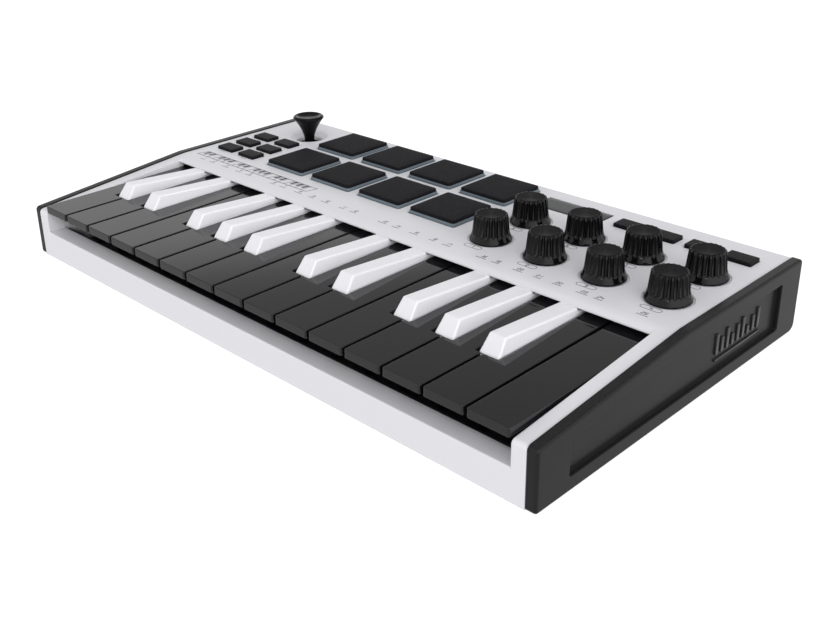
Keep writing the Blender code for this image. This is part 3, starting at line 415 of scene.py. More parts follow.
def makeFinish(name, special):
    look = {**plainFinish, **special}
    material = bpy.data.materials.new(name)
    material.use_nodes = True
    tree = material.node_tree
    shader = tree.nodes["Principled BSDF"]
    shader.inputs["Metallic"].default_value = look["metallic"]
    shader.inputs["Coat Weight"].default_value = look["coat"]
    shader.inputs["Coat Roughness"].default_value = 0.12
    shader.inputs["IOR"].default_value = look["bend"]
    shader.inputs["Specular IOR Level"].default_value = look["specular"]
    colours = {"Colour": (*look["colour"], 1.0), "Drift Colour": (*look["drift"], 1.0), "Dust": look["dust"]}
    tone = addNode(tree, "Group", colours, node_tree=toneDrift).outputs["Colour"]
    edges = addNode(tree, "Group", {}, node_tree=paintedEdgeHighlight)
    # painted highlight: the lighter edge colour is mixed in along the edges
    edgeHighlighted = mixColours(tree, edges.outputs["Mask"], tone, (*look["edge"], 1.0))
    tree.links.new(edgeHighlighted, shader.inputs["Base Color"])
    rub = addNode(tree, "Group", {"Roughness": look["roughness"], "Smear": look["smear"]}, node_tree=handling)
    tree.links.new(rub.outputs["Roughness"], shader.inputs["Roughness"])
    grain = addNode(tree, "Group", {"Grain Scale": look["grain"]}, node_tree=mouldGrain)
    relief = {"Strength": 1.0, "Distance": look["bump"] * mm, "Height": grain.outputs["Height"],
              "Normal": edges.outputs["Normal"]}
    tree.links.new(addNode(tree, "Bump", relief).outputs["Normal"], shader.inputs["Normal"])
    if look["spun"]:
        shader.inputs["Anisotropic"].default_value = look["spun"]
        around = addNode(tree, "Tangent", {}, direction_type="RADIAL", axis="Z")
        tree.links.new(around.outputs["Tangent"], shader.inputs["Tangent"])
    return material


finish = {name: makeFinish(name, look) for name, look in finishes.items()}
cadFinish = {
    "shell_white": "shell_white",
    "end_panel_black": "end_panel",
    "natural_key_black": "natural_gloss",
    "sharp_key_white": "sharp_white",
    "pad_rubber": "pad_rubber",
    "knob_black": "knob_gloss",
    "button_rubber": "button_rubber",
    "frame_black": "frame_black",
    "circuit_board": "circuit_board",
    "display_window": "display_smoke",
}
slotOf = {row["node"]: row["material_slot"] for row in frame["record"]["subparts"]}
for nodeName, node in nodes.items():
    node.data.materials.clear()
    node.data.materials.append(finish[cadFinish[slotOf[nodeName]]])
print("materials made,", len(finish))


naturalLook = {
    "count": 15,
    "thickness": 3.7 * mm,
    "gap": 1.0 * mm,
    "sideDraft": 0.22 * mm,
    "notchFront": 32.2 * mm,  # from the key's own front
    "frontCorner": 0.9 * mm,
    "topEdge": 0.35 * mm,
    "railBack": 3.0 * mm,
}
sharpNames = numbered("sharp_key", 10, 2)
naturalNames = numbered("natural_key", naturalLook["count"], 2)
sharpBoxes = [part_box(name) for name in sharpNames]


def naturalOutline(low, high):
    # plan of one key about its own box: front corners rounded, notches beside the sharps
    gap = naturalLook["gap"]
    low, high = low.copy(), high.copy()
    low.x += naturalLook["sideDraft"]
    high.x -= naturalLook["sideDraft"]
    tailLow, tailHigh = low.x, high.x
    for sharpLow, sharpHigh in sharpBoxes:
        if low.x < sharpHigh.x + gap < high.x and sharpLow.x < low.x + gap:
            tailLow = sharpHigh.x + gap
        if low.x < sharpLow.x - gap < high.x and sharpHigh.x > high.x - gap:
            tailHigh = sharpLow.x - gap
    notch = low.y + naturalLook["notchFront"]
    corner = naturalLook["frontCorner"]
    back = high.y
    corners = [(low.x, low.y, corner), (high.x, low.y, corner)]
    if tailHigh < high.x:
        corners += [(high.x, notch, corner / 3), (tailHigh, notch, corner / 3)]
    corners += [(tailHigh, back, 0.0), (tailLow, back, 0.0)]
    if tailLow > low.x:
        corners += [(tailLow, notch, corner / 3), (low.x, notch, corner / 3)]
    return roundCorners(corners, 6), tailLow, tailHigh


def buildNaturals():
    top = naturalLook["topEdge"]
    for name in naturalNames:
        low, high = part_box(name)
        outline, tailLow, tailHigh = naturalOutline(low, high)
        bm = bmesh.new()
        under = high.z - naturalLook["thickness"]
        loft(bm, [(outline, under), (outline, high.z)])
        softEdges(bm, top, 4, lambda e: all(v.co.z > high.z - 0.01 * mm for v in e.verts))
        softEdges(bm, 0.2 * mm, 1, lambda e: all(v.co.z < under + 0.01 * mm for v in e.verts))
        block = [(tailLow + 0.2 * mm, high.y - naturalLook["railBack"]), (tailHigh - 0.2 * mm, high.y)]
        box(bm, (*block[0], low.z), (*block[1], under + 0.2 * mm))
        piece = addPiece(name + "_top", bm, finish["natural_gloss"], name,
                         smooth=40)
        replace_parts(evenNormals(piece), name)


buildNaturals()
print("natural keys made")


sharpLook = {
    "topWidth": 7.8 * mm,
    "rearDrop": 3.55 * mm,
    "frontSlope": 5.1 * mm,
    "skirt": 6.85 * mm,  # sloped sides end this far below the front of the top
    "topEdge": 0.8 * mm,
    "tailDrop": 4.85 * mm,
    "bodyLength": 48.5 * mm,
    "lever": 3.7 * mm,
}


def buildSharps():
    look = sharpLook
    for name in sharpNames:
        low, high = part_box(name)
        half = (high.x - low.x) / 2
        middle = (high.x + low.x) / 2
        rear = low.y + look["bodyLength"]
        base = high.z - look["skirt"]
        lean = (half - look["topWidth"] / 2) / look["skirt"]
        rearTop = high.z - look["rearDrop"]
        rearHalf = half - lean * (rearTop - base)
        frontHalf = look["topWidth"] / 2
        frontTop = low.y + look["frontSlope"]
        bm = bmesh.new()
        plan = [(-half, low.y), (half, low.y), (half, rear), (-half, rear)]
        verts = [bm.verts.new((x, y, base)) for x, y in plan]
        verts += [
            bm.verts.new((-frontHalf, frontTop, high.z)),
            bm.verts.new((frontHalf, frontTop, high.z)),
            bm.verts.new((rearHalf, rear, rearTop)),
            bm.verts.new((-rearHalf, rear, rearTop)),
        ]
        for quad in ((0, 3, 2, 1), (4, 5, 6, 7), (0, 1, 5, 4), (1, 2, 6, 5), (2, 3, 7, 6), (3, 0, 4, 7)):
            bm.faces.new([verts[i] for i in quad])
        softEdges(bm, look["topEdge"], 6, lambda e: any(v.co.z > base + 0.1 * mm for v in e.verts))
        softEdges(bm, 0.35 * mm, 2, lambda e: sharpEdge(e, 40))
        leverTop = base + 0.1 * mm
        under = base + look["skirt"] - 5.85 * mm - look["lever"]
        box(bm, (-half + 0.25 * mm, low.y + 0.6 * mm, under), (half - 0.25 * mm, rear, leverTop))
        tailTop = high.z - look["tailDrop"]
        tailFace = box(bm, (-half + 0.1 * mm, rear - 3.0 * mm, under), (half - 0.1 * mm, high.y, tailTop))
        tailEdges = {edge for face in tailFace for edge in face.edges}
        softEdges(bm, 0.4 * mm, 3,
                  lambda e: e in tailEdges and e.verts[0].co.z + e.verts[1].co.z > tailTop * 1.9)
        box(bm, (-half + 0.4 * mm, high.y - 3.0 * mm, low.z), (half - 0.4 * mm, high.y, under + 0.2 * mm))
        for vert in bm.verts:
            vert.co.x += middle
        piece = addPiece(name + "_top", bm, finish["sharp_white"], name,
                         smooth=40)
        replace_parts(evenNormals(piece), name)


buildSharps()
print("sharp keys made")


shellLook = {
    "caseHalf": 154.34 * mm,
    "openingHalf": 147.91 * mm,
    "depth": 177.0 * mm,
    "panelHeight": 32.3 * mm,
    "frontHeight": 24.4 * mm,
    "kink": 88.3 * mm,
    "wall": 2.2 * mm,
    "ledgeHeight": 13.7 * mm,
    "ledgeDepth": 9.0 * mm,
    "openingBack": 81.0 * mm,
    "lipDepth": 3.3 * mm,
    "lipDrop": 0.7 * mm,
    "lipFace": 0.6 * mm,
    "undercut": 2.4 * mm,
    "edge": 0.7 * mm,
    "padHole": (14.7 * mm, 14.5 * mm, 1.3 * mm),
    "buttonHole": (6.65 * mm, 4.35 * mm, 0.7 * mm),
    "displayHole": (18.5 * mm, 7.0 * mm, 0.5 * mm),
    "knobRecess": (10.2 * mm, 0.4 * mm),
    "dish": (7.0 * mm, 10.5 * mm, 2.0 * mm),
}
socketLook = {"usb": (-99.0 * mm, 11.3 * mm), "jack": (-75.0 * mm, 10.8 * mm)}  # x and height of each
footHeight = 0.8 * mm


def fromFront(back):
    return back - shellLook["depth"] / 2


def fromUnder(up):
    return up + footHeight


def panelTop():
    return fromUnder(shellLook["panelHeight"])


def prism(points, low, high, place):
    # a flat outline drawn from low to high, put in place by a matrix
    bm = bmesh.new()
    loft(bm, [(points, low), (points, high)])
    bmesh.ops.transform(bm, matrix=place, verts=bm.verts)
    return bm


def sidePoints(corners, steps=6):
    return roundCorners([(fromFront(b), fromUnder(u), r) for b, u, r in corners], steps)


def flatten(mesh):
    # joins the coplanar faces that a Boolean leaves
    bm = bmesh.new()
    bm.from_mesh(mesh)
    bmesh.ops.remove_doubles(bm, verts=bm.verts, dist=0.002 * mm)
    bmesh.ops.dissolve_limit(bm, angle_limit=0.002, verts=bm.verts, edges=bm.edges)
    return bm


def buildShell():
    look = shellLook
    wall = look["wall"]
    depth = look["depth"]
    high = look["panelHeight"]
    back = look["openingBack"]
    outside = sidePoints([
        (0.0, 0.0, 0.5 * mm),
        (depth, 0.0, 0.5 * mm),
        (depth, high, 1.0 * mm),
        (look["kink"], high, 0.0),
        (0.0, look["frontHeight"], 2.0 * mm),
    ])
    shell = meshOf(prism(outside, -look["caseHalf"], look["caseHalf"], upright), "shell")
    slope = (high - look["frontHeight"]) / look["kink"]

    def topAt(place):
        return look["frontHeight"] + slope * place

    far = 5.0 * mm
    room = [
        (-far, look["ledgeHeight"]),
        (look["ledgeDepth"], look["ledgeHeight"]),
        (look["ledgeDepth"], look["ledgeHeight"] - wall),
        (wall, look["ledgeHeight"] - wall),
        (wall, -far),
        (back + look["undercut"], -far),
        (back + look["undercut"], high - wall),
        (back, topAt(back) - look["lipDrop"] - look["lipFace"]),
        (back, topAt(back) - look["lipDrop"]),
        (back + look["lipDepth"], topAt(back + look["lipDepth"])),
        (back + look["lipDepth"], high + far),
        (-far, high + far),
    ]
    roomPoints = [(fromFront(b), fromUnder(u)) for b, u in room]
    half = look["openingHalf"]
    shell = combine(shell, meshOf(prism(roomPoints, -half, half, upright), "key_room"), "DIFFERENCE")
    bm = flatten(shell)

    def exposed(edge):
        a, b = (vert.co for vert in edge.verts)
        inside = max(abs(a.x), abs(b.x)) < half + 0.1 * mm
        front = min(a.y, b.y) < fromFront(back) - 0.1 * mm
        upper = min(a.z, b.z) > fromUnder(look["ledgeHeight"]) - 0.1 * mm
        under = max(a.z, b.z) < fromUnder(look["ledgeHeight"] - wall / 2)
        panel = abs(a.y - b.y) < 0.1 * mm and a.y > fromFront(back) - 0.1 * mm
        return sharpEdge(edge) and inside and upper and (front or panel) and not under

    def lip(edge):
        a, b = (vert.co for vert in edge.verts)
        along = abs(a.y - b.y) < 0.1 * mm and abs(a.z - b.z) < 0.1 * mm
        return along and a.y > fromFront(back) - 0.1 * mm and a.z > fromUnder(high - wall) + 0.1 * mm

    softEdges(bm, look["edge"], 4, lambda edge: exposed(edge) and not lip(edge))
    shell = meshOf(bm, "shell")
    bm = bmesh.new()
    inside = look["caseHalf"] - wall
    box(bm, (-inside, fromFront(back + look["undercut"] - 0.2 * mm), -far),
        (inside, fromFront(depth - wall), fromUnder(high - wall)))
    shell = combine(shell, meshOf(bm, "rear_room"), "DIFFERENCE")

    top = panelTop()
    bm = bmesh.new()
    buttons = numbered("left_button", 6) + numbered("right_button", 4)
    for names, hole, steps, deep in (
        (numbered("drum_pad", 8), "padHole", 5, far),
        (buttons, "buttonHole", 4, far),
        (["display_window"], "displayHole", 4, 1.3 * mm),
    ):
        for name in names:
            outline = rectangle(*look[hole], steps, *centreOf(name).xy)
            loft(bm, [(outline, top - deep), (outline, top + far)])
    recess, drop = look["knobRecess"]
    for name in numbered("knob", 8):
        middle = centreOf(name)
        turned(bm, [(0.0, top - drop), (recess - 0.15 * mm, top - drop), (recess, top - drop / 2),
                    (recess + 0.1 * mm, top + 0.05 * mm), (recess + 0.1 * mm, top + far), (0.0, top + far)],
               72, middle.xy)
    shell = combine(shell, meshOf(bm, "panel_holes"), "DIFFERENCE")
    bm = bmesh.new()
    for name in numbered("knob", 8):
        middle = centreOf(name)
        turned(bm, [(0.0, top - far), (3.7 * mm, top - far), (3.7 * mm, top), (0.0, top)], 32, middle.xy)
    start = len(bm.verts)
    outline = rectangle(6.4 * mm, 5.9 * mm, 0.6 * mm, 4, *socketLook["usb"])
    loft(bm, [(outline, -far), (outline, far)])
    turned(bm, [(0.0, -far), (5.1 * mm, -far), (5.1 * mm, far), (0.0, far)], 48, socketLook["jack"])
    bm.verts.ensure_lookup_table()
    rear = Matrix.Translation((0, fromFront(depth), 0)) @ toBack
    bmesh.ops.transform(bm, matrix=rear, verts=bm.verts[start:])
    shell = combine(shell, meshOf(bm, "bores"), "DIFFERENCE")

    hole, rim, deep = look["dish"]
    place = centreOf("thumbstick")
    bm = bmesh.new()
    under = top - deep - look["wall"]
    turned(bm, [(0.0, under), (rim + 1.9 * mm, under), (rim + 2.2 * mm, under + 0.3 * mm),
                (rim + 2.2 * mm, top - 1.0 * mm), (0.0, top - 1.0 * mm)], 64, place.xy)
    shell = combine(shell, meshOf(bm, "dish_boss"), "UNION")
    bm = bmesh.new()
    turned(bm, [
        (0.0, top - far - deep), (hole, top - far - deep), (hole, top - deep - 0.45 * mm),
        (hole + 0.12 * mm, top - deep - 0.15 * mm), (hole + 0.5 * mm, top - deep + 0.2 * mm),
        (rim - 0.55 * mm, top - 0.42 * mm), (rim - 0.15 * mm, top - 0.16 * mm),
        (rim + 0.3 * mm, top), (rim + 0.3 * mm, top + far), (0.0, top + far),
    ], 72, place.xy)
    shell = combine(shell, meshOf(bm, "dish"), "DIFFERENCE")
    piece = addPiece("shell", flatten(shell), finish["shell_white"], "case",
                     smooth=32)
    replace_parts(evenNormals(piece), "top_case")


buildShell()
print("shell made")


endLook = {
    "thickness": 4.36 * mm,
    "lip": 0.6 * mm,
    "edge": 1.2 * mm,
    "margin": 6.1 * mm,
    "recessFront": 17.8 * mm,
    "recessBack": 16.7 * mm,
    "recessDepth": 2.0 * mm,
    "recessEdge": 0.4 * mm,
    "markRise": 0.7 * mm,
    "markFront": 112.0 * mm,
    "markBars": (9.0, 6.5, 9.0, 5.0, 7.5, 9.0, 4.0, 7.0, 9.0),
    "markPitch": 4.0 * mm,
    "markWidth": 1.9 * mm,
    "markLow": 13.0 * mm,
    "markLine": (112.0 * mm, 147.0 * mm, 10.2 * mm, 11.2 * mm),
}


def buildEndPanel(name, side):
    look = endLook
    shell = shellLook
    low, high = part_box(name)
    outer = high.x if side > 0 else low.x
    depth = shell["depth"]
    top = shell["panelHeight"] + look["lip"]
    frontTop = shell["frontHeight"] + look["lip"]
    outline = sidePoints([
        (0.0, 0.0, 1.5 * mm), (depth, 0.0, 4.0 * mm), (depth, top, 1.5 * mm),
        (shell["kink"], top, 30.0 * mm), (0.0, frontTop, 2.0 * mm),
    ])
    bm = prism(outline, low.x, high.x, upright)

    def outerRim(edge):
        return sharpEdge(edge) and all(abs(vert.co.x - outer) < 0.01 * mm for vert in edge.verts)

    softEdges(bm, look["edge"], 6, outerRim)
    panel = meshOf(bm, name + "_face")
    margin = look["margin"]
    slope = (shell["panelHeight"] - shell["frontHeight"]) / shell["kink"]
    recessTop = top - margin
    recessCorners = [
        (look["recessFront"], margin, 0.8 * mm),
        (depth - look["recessBack"], margin, 0.8 * mm),
        (depth - look["recessBack"], recessTop, 0.8 * mm),
        (shell["kink"], recessTop, 30.0 * mm),
        (look["recessFront"], frontTop + slope * look["recessFront"] - margin, 0.8 * mm),
    ]
    deep = look["recessDepth"]
    recess = prism(sidePoints(recessCorners), outer - deep, outer + deep, upright)
    panel = combine(panel, meshOf(recess, "recess"), "DIFFERENCE")
    bm = flatten(panel)

    def recessRim(edge):
        a, b = (vert.co for vert in edge.verts)
        low, high = sorted((a.z, b.z))
        inside = low > fromUnder(margin) - 0.1 * mm and high < fromUnder(recessTop) + 0.1 * mm
        ends = min(a.y, b.y) > fromFront(look["recessFront"]) - 0.1 * mm
        return sharpEdge(edge) and inside and ends and abs(a.x - outer) + abs(b.x - outer) < 0.02 * mm

    softEdges(bm, look["recessEdge"], 3, recessRim)
    piece = addPiece(name + "_face", bm, finish["end_panel"], "case",
                     smooth=35)
    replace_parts(evenNormals(piece), name)

    bm = bmesh.new()
    floor = outer - side * look["recessDepth"]
    rise = floor + side * look["markRise"]
    reach = sorted((floor - side * 0.1 * mm, rise))
    bars = look["markBars"]
    for index, tall in enumerate(bars):
        place = look["markFront"] + index * look["markPitch"]
        corners = [(place, look["markLow"], 0.5 * mm), (place + look["markWidth"], look["markLow"], 0.5 * mm),
                   (place + look["markWidth"], look["markLow"] + tall * mm, 0.5 * mm),
                   (place, look["markLow"] + tall * mm, 0.5 * mm)]
        points = sidePoints(corners, 3)
        start = len(bm.verts)
        loft(bm, [(points, reach[0]), (points, reach[1])])
        bm.verts.ensure_lookup_table()
        bmesh.ops.transform(bm, matrix=upright, verts=bm.verts[start:])
    y0, y1, z0, z1 = look["markLine"]
    box(bm, (reach[0], fromFront(y0), fromUnder(z0)), (reach[1], fromFront(y1), fromUnder(z1)))

    def outerMark(edge):
        return sharpEdge(edge) and all(abs(vert.co.x - rise) < 0.01 * mm for vert in edge.verts)

    softEdges(bm, 0.15 * mm, 2, outerMark)
    addPiece(name + "_mark", bm, finish["end_mark"], "case",
             smooth=35)


buildEndPanel("left_end_panel", -1)
buildEndPanel("right_end_panel", 1)
print("end panels made")


padLook = {
    "cap": (13.8 * mm, 13.6 * mm),
    "corner": 1.3 * mm,
    "edge": 0.6 * mm,
    "skirt": (14.25 * mm, 14.05 * mm),
    "skirtRise": 1.35 * mm,
    "crown": 0.12 * mm,
    "flange": (15.6 * mm, 15.4 * mm),
    "stem": (11.9 * mm, 11.9 * mm),
}


def softBlock(bm, halfX, halfY, corner, low, high, edge, steps=6, crown=0.0, place=(0.0, 0.0)):
    # an upright block with rounded corners, a rounded top edge and a slightly domed top
    rows = [(rectangle(halfX, halfY, corner, steps, *place), low)]
    turns = 5
    for step in range(turns + 1):
        angle = math.pi / 2 * step / turns
        inset = edge * (1 - math.cos(angle))
        height = high - crown - edge * (1 - math.sin(angle))
        radius = max(corner - inset, 0.05 * mm)
        rows.append((rectangle(halfX - inset, halfY - inset, radius, steps, *place), height))
    for share in (0.3, 0.65):
        inset = edge + share * (min(halfX, halfY) - edge)
        radius = max(corner - edge, 0.05 * mm) * (1 - share)
        radius = max(radius, 0.04 * mm)
        outline = rectangle(halfX - inset, halfY - inset, radius, steps, *place)
        rows.append((outline, high - crown * (1 - share) ** 2))
    loft(bm, rows)


def buildPads():
    look = padLook
    names = numbered("drum_pad", 8)
    low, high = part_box(names[0])
    top = panelTop()
    skirtTop = top + look["skirtRise"]
    bm = bmesh.new()
    softBlock(bm, *look["cap"], look["corner"], skirtTop - 0.4 * mm, high.z, look["edge"], 6, look["crown"])
    capMesh = meshOf(bm, "pad_cap")
    bm = bmesh.new()
    softBlock(bm, *look["skirt"], look["corner"] + 0.3 * mm, top - 2.9 * mm, skirtTop, 0.35 * mm, 6)
    skirtMesh = meshOf(bm, "pad_skirt")
    bm = bmesh.new()
    softBlock(bm, *look["flange"], 1.5 * mm, top - 4.7 * mm, top - 2.75 * mm, 0.2 * mm, 3)
    softBlock(bm, *look["stem"], 1.0 * mm, low.z, top - 4.6 * mm, 0.2 * mm, 3)
    footMesh = meshOf(bm, "pad_foot")
    for name in names:
        middle = centreOf(name)
        place = (middle.x, middle.y, 0.0)
        cap = addPiece(name + "_cap", capMesh, finish["pad_rubber"], name, place, 45)
        addPiece(name + "_skirt", skirtMesh, finish["pad_skirt"], name, place, 45)
        addPiece(name + "_foot", footMesh, finish["pad_skirt"], name, place, 45)
        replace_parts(cap, name)


buildPads()
print("drum pads made")


knobLook = {
    "base": 9.5 * mm,
    "neck": 8.2 * mm,
    "top": 7.3 * mm,
    "height": 11.9 * mm,
    "flutes": 20,
    "flutePoints": 10,
    "fluteDepth": 0.85 * mm,
    "fluteLow": 2.9 * mm,
    "stub": 9.0 * mm,  # depth of the hidden skirt below the panel
}


def buildKnobs():
    look = knobLook
    count = look["flutes"] * look["flutePoints"]
    cut = (0.0, 0.03, 0.0, 0.12, 0.5, 0.85, 1.0, 1.0, 0.85, 0.5)
    bottom = -0.1 * mm
    high = look["height"]
    rows = [
        (3.0 * mm, bottom, 0.0), (look["base"] - 0.15 * mm, bottom, 0.0),
        (look["base"], bottom + 0.15 * mm, 0.0),
        (look["base"] - 0.04 * mm, 0.75 * mm, 0.0), (look["base"] - 0.45 * mm, 1.35 * mm, 0.0),
        (look["base"] - 0.85 * mm, 2.1 * mm, 0.0), (look["neck"] + 0.2 * mm, look["fluteLow"], 0.0),
        (look["neck"] + 0.08 * mm, look["fluteLow"] + 0.35 * mm, 0.75),
        (look["neck"], look["fluteLow"] + 0.7 * mm, 1.0),
        (look["top"] + 0.25 * mm, high - 1.6 * mm, 1.0), (look["top"] + 0.06 * mm, high - 0.55 * mm, 1.0),
        (look["top"] - 0.14 * mm, high - 0.18 * mm, 0.9), (look["top"] - 0.45 * mm, high, 0.45),
        (look["top"] - 0.85 * mm, high - 0.02 * mm, 0.0), (look["top"] - 0.9 * mm, high - 0.28 * mm, 0.0),
    ]
    bm = bmesh.new()
    made = []
    for radius, z, share in rows:
        row = []
        for i in range(count):
            angle = 2 * math.pi * i / count
            reach = radius - look["fluteDepth"] * share * cut[i % look["flutePoints"]]
            row.append(bm.verts.new((reach * math.cos(angle), reach * math.sin(angle), z)))
        made.append(row)
    joinRows(bm, made)
    stub = [bm.verts.new((v.co.x, v.co.y, -look["stub"])) for v in made[0]]
    joinRows(bm, [stub, made[0]])
    bm.faces.new(list(reversed(stub)))
    bm.faces.new(made[-1])
    body = meshOf(bm, "knob_body")
    bm = bmesh.new()
    inner = look["top"] - 0.95 * mm
    turned(bm, [(0.0, high - 0.3 * mm), (inner, high - 0.3 * mm), (inner, high),
                (inner - 0.12 * mm, high + 0.04 * mm), (inner - 0.5 * mm, high + 0.02 * mm),
                (inner * 0.5, high - 0.06 * mm), (0.0, high - 0.08 * mm)], 72)
    cap = meshOf(bm, "knob_cap")
    for name in numbered("knob", 8):
        middle = centreOf(name)
        place = (middle.x, middle.y, panelTop())
        grip = addPiece(name + "_body", body, finish["knob_gloss"], name, place, 50)
        addPiece(name + "_cap", cap, finish["knob_top"], name, place, 50)
        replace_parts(grip, name)


buildKnobs()
print("knobs made")


stickLook = {
    "rim": 8.7 * mm,
    "waist": 2.8 * mm,
    "waistHeight": 6.0 * mm,
    "stem": 2.0 * mm,
    "rise": 20.4 * mm,
    "pivotHeight": 25.1 * mm,
    "flare": 1.8,
    "count": 72,
}


def buildStick():
    look = stickLook
    top = look["rise"]
    rim = look["rim"]
    waistHeight = look["waistHeight"]
    lift = top - 1.4 * mm - waistHeight
    profile = [(0.0, -2.0 * mm), (look["stem"], -2.0 * mm), (look["stem"], 3.9 * mm),
               (look["waist"] * 0.86, 4.9 * mm)]
    steps = 16
    for step in range(steps + 1):
        share = step / steps
        radius = look["waist"] + (rim - 0.12 * mm - look["waist"]) * share ** look["flare"]
        profile.append((radius, waistHeight + lift * share))
    # the rounded rim and the shallow bowl in it, as inset from the rim and drop from the top
    bowl = [(0.02, 1.2), (0.03, 0.85), (0.25, 0.45), (0.75, 0.12), (1.35, 0.0), (1.95, 0.06), (2.5, 0.3),
            (3.4, 0.75), (5.0, 1.15), (6.8, 1.32)]
    profile += [(rim - inset, top - drop) for inset, drop in inMm(bowl)]
    profile.append((0.0, top - 1.36 * mm))
    bm = bmesh.new()
    turned(bm, profile, look["count"])
    bmesh.ops.create_uvsphere(bm, u_segments=32, v_segments=16, radius=2.9 * mm)
    middle = centreOf("thumbstick_gimbal")
    bmesh.ops.create_cone(bm, cap_ends=True, segments=20, radius1=0.9 * mm, radius2=0.9 * mm,
                          depth=10.4 * mm, matrix=Matrix.Rotation(math.pi / 2, 4, "Y"))
    piece = addPiece("thumbstick_body", bm, finish["stick_gloss"], "thumbstick",
                     (middle.x, middle.y, look["pivotHeight"]), 40)
    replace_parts(piece, "thumbstick")


buildStick()
print("thumbstick made")


buttonLook = {
    "cap": (6.42 * mm, 4.12 * mm, 0.6 * mm),
    "flange": (6.75 * mm, 4.45 * mm, 0.6 * mm),
    "stem": (1.45 * mm, 1.45 * mm, 0.3 * mm),
}


def buildButtons():
    look = buttonLook
    top = panelTop()
    names = numbered("left_button", 6) + numbered("right_button", 4)
    low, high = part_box(names[0])
    bm = bmesh.new()
    softBlock(bm, *look["cap"], top - 2.9 * mm, high.z, 0.3 * mm, 5, 0.04 * mm)
    softBlock(bm, *look["flange"], top - 4.2 * mm, top - 2.75 * mm, 0.15 * mm, 4)
    softBlock(bm, *look["stem"], low.z, top - 4.1 * mm, 0.1 * mm, 3)
    mesh = meshOf(bm, "button")
    for name in names:
        middle = centreOf(name)
        piece = addPiece(name + "_cap", mesh, finish["button_rubber"], name, (middle.x, middle.y, 0.0),
                         45)
        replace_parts(piece, name)


def buildDisplay():
    low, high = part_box("display_window")
    middle = centreOf("display_window")
    half = (high - low) / 2
    bm = bmesh.new()
    softBlock(bm, half.x, half.y, 0.45 * mm, low.z, high.z, 0.18 * mm, 4, 0.0, middle.xy)
    piece = addPiece("display_glass", bm, finish["display_smoke"], "case",
                     smooth=40)
    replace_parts(piece, "display_window")
    bm = bmesh.new()
    flat = high.z + 0.015 * mm
    edge = 1.9 * mm
    outer = rectangle(half.x - edge, half.y - edge, 0.3 * mm, 3, *middle.xy)
    loft(bm, [(outer, high.z - 0.05 * mm), (outer, flat)])
    addPiece("display_screen", bm, finish["display_screen"], "case",
             smooth=0)


buildButtons()
buildDisplay()
print("buttons and display made")


inkLook = {
    "lift": 0.03 * mm,
    "sink": 0.05 * mm,
    "titleFront": 96.2 * mm,  # from the case's front
    "titleLeft": -147.0 * mm,
    "titleTall": 6.2 * mm,
    "titlePitch": 4.3 * mm,
    "labelFront": 90.6 * mm,
    "pill": (4.7 * mm, 1.5 * mm, 1.45 * mm, 0.26 * mm),
    "pillAhead": 12.0 * mm,
}


def inkBar(bm, x, y, width, height, corner=0.0, lean=0.0):
    points = rectangle(width / 2, height / 2, corner, 3) if corner else rectangle(width / 2, height / 2)
    placed = [(x + p[0] + lean * p[1], y + p[1]) for p in points]
    top = panelTop()
    loft(bm, [(placed, top - inkLook["sink"]), (placed, top + inkLook["lift"])])


def inkRing(bm, x, y, halfX, halfY, corner, line):
    outer = rectangle(halfX, halfY, corner, 8, x, y)
    inner = rectangle(halfX - line, halfY - line, corner - line, 8, x, y)
    top = panelTop()
    low, high = top - inkLook["sink"], top + inkLook["lift"]
    rows = rowsOf(bm, [(outer, low), (outer, high), (inner, high), (inner, low)])
    joinRows(bm, rows + rows[:1])


digitSegments = {
    "0": "abcdef", "1": "bc", "2": "abged", "3": "abgcd", "4": "fgbc",
    "5": "afgcd", "6": "afgedc", "7": "abc", "8": "abcdefg", "9": "abcdfg",
}


def inkNumber(bm, text, x, y, tall, line, lean=0.15):
    # numbers drawn with plain straight strokes
    wide = tall * 0.52
    pitch = wide + line * 2.2
    start = x - pitch * (len(text) - 1) / 2
    for index, digit in enumerate(text):
        cx = start + index * pitch
        h = tall / 2
        w = wide / 2
        strokes = {
            "a": (0, h, wide, line), "g": (0, 0, wide, line), "d": (0, -h, wide, line),
            "f": (-w, h / 2, line, h), "b": (w, h / 2, line, h),
            "e": (-w, -h / 2, line, h), "c": (w, -h / 2, line, h),
        }
        for key in digitSegments[digit]:
            dx, dy, sx, sy = strokes[key]
            inkBar(bm, cx + dx + lean * dy, y + dy, sx + (line if sx > sy else 0), sy, 0.0, lean)


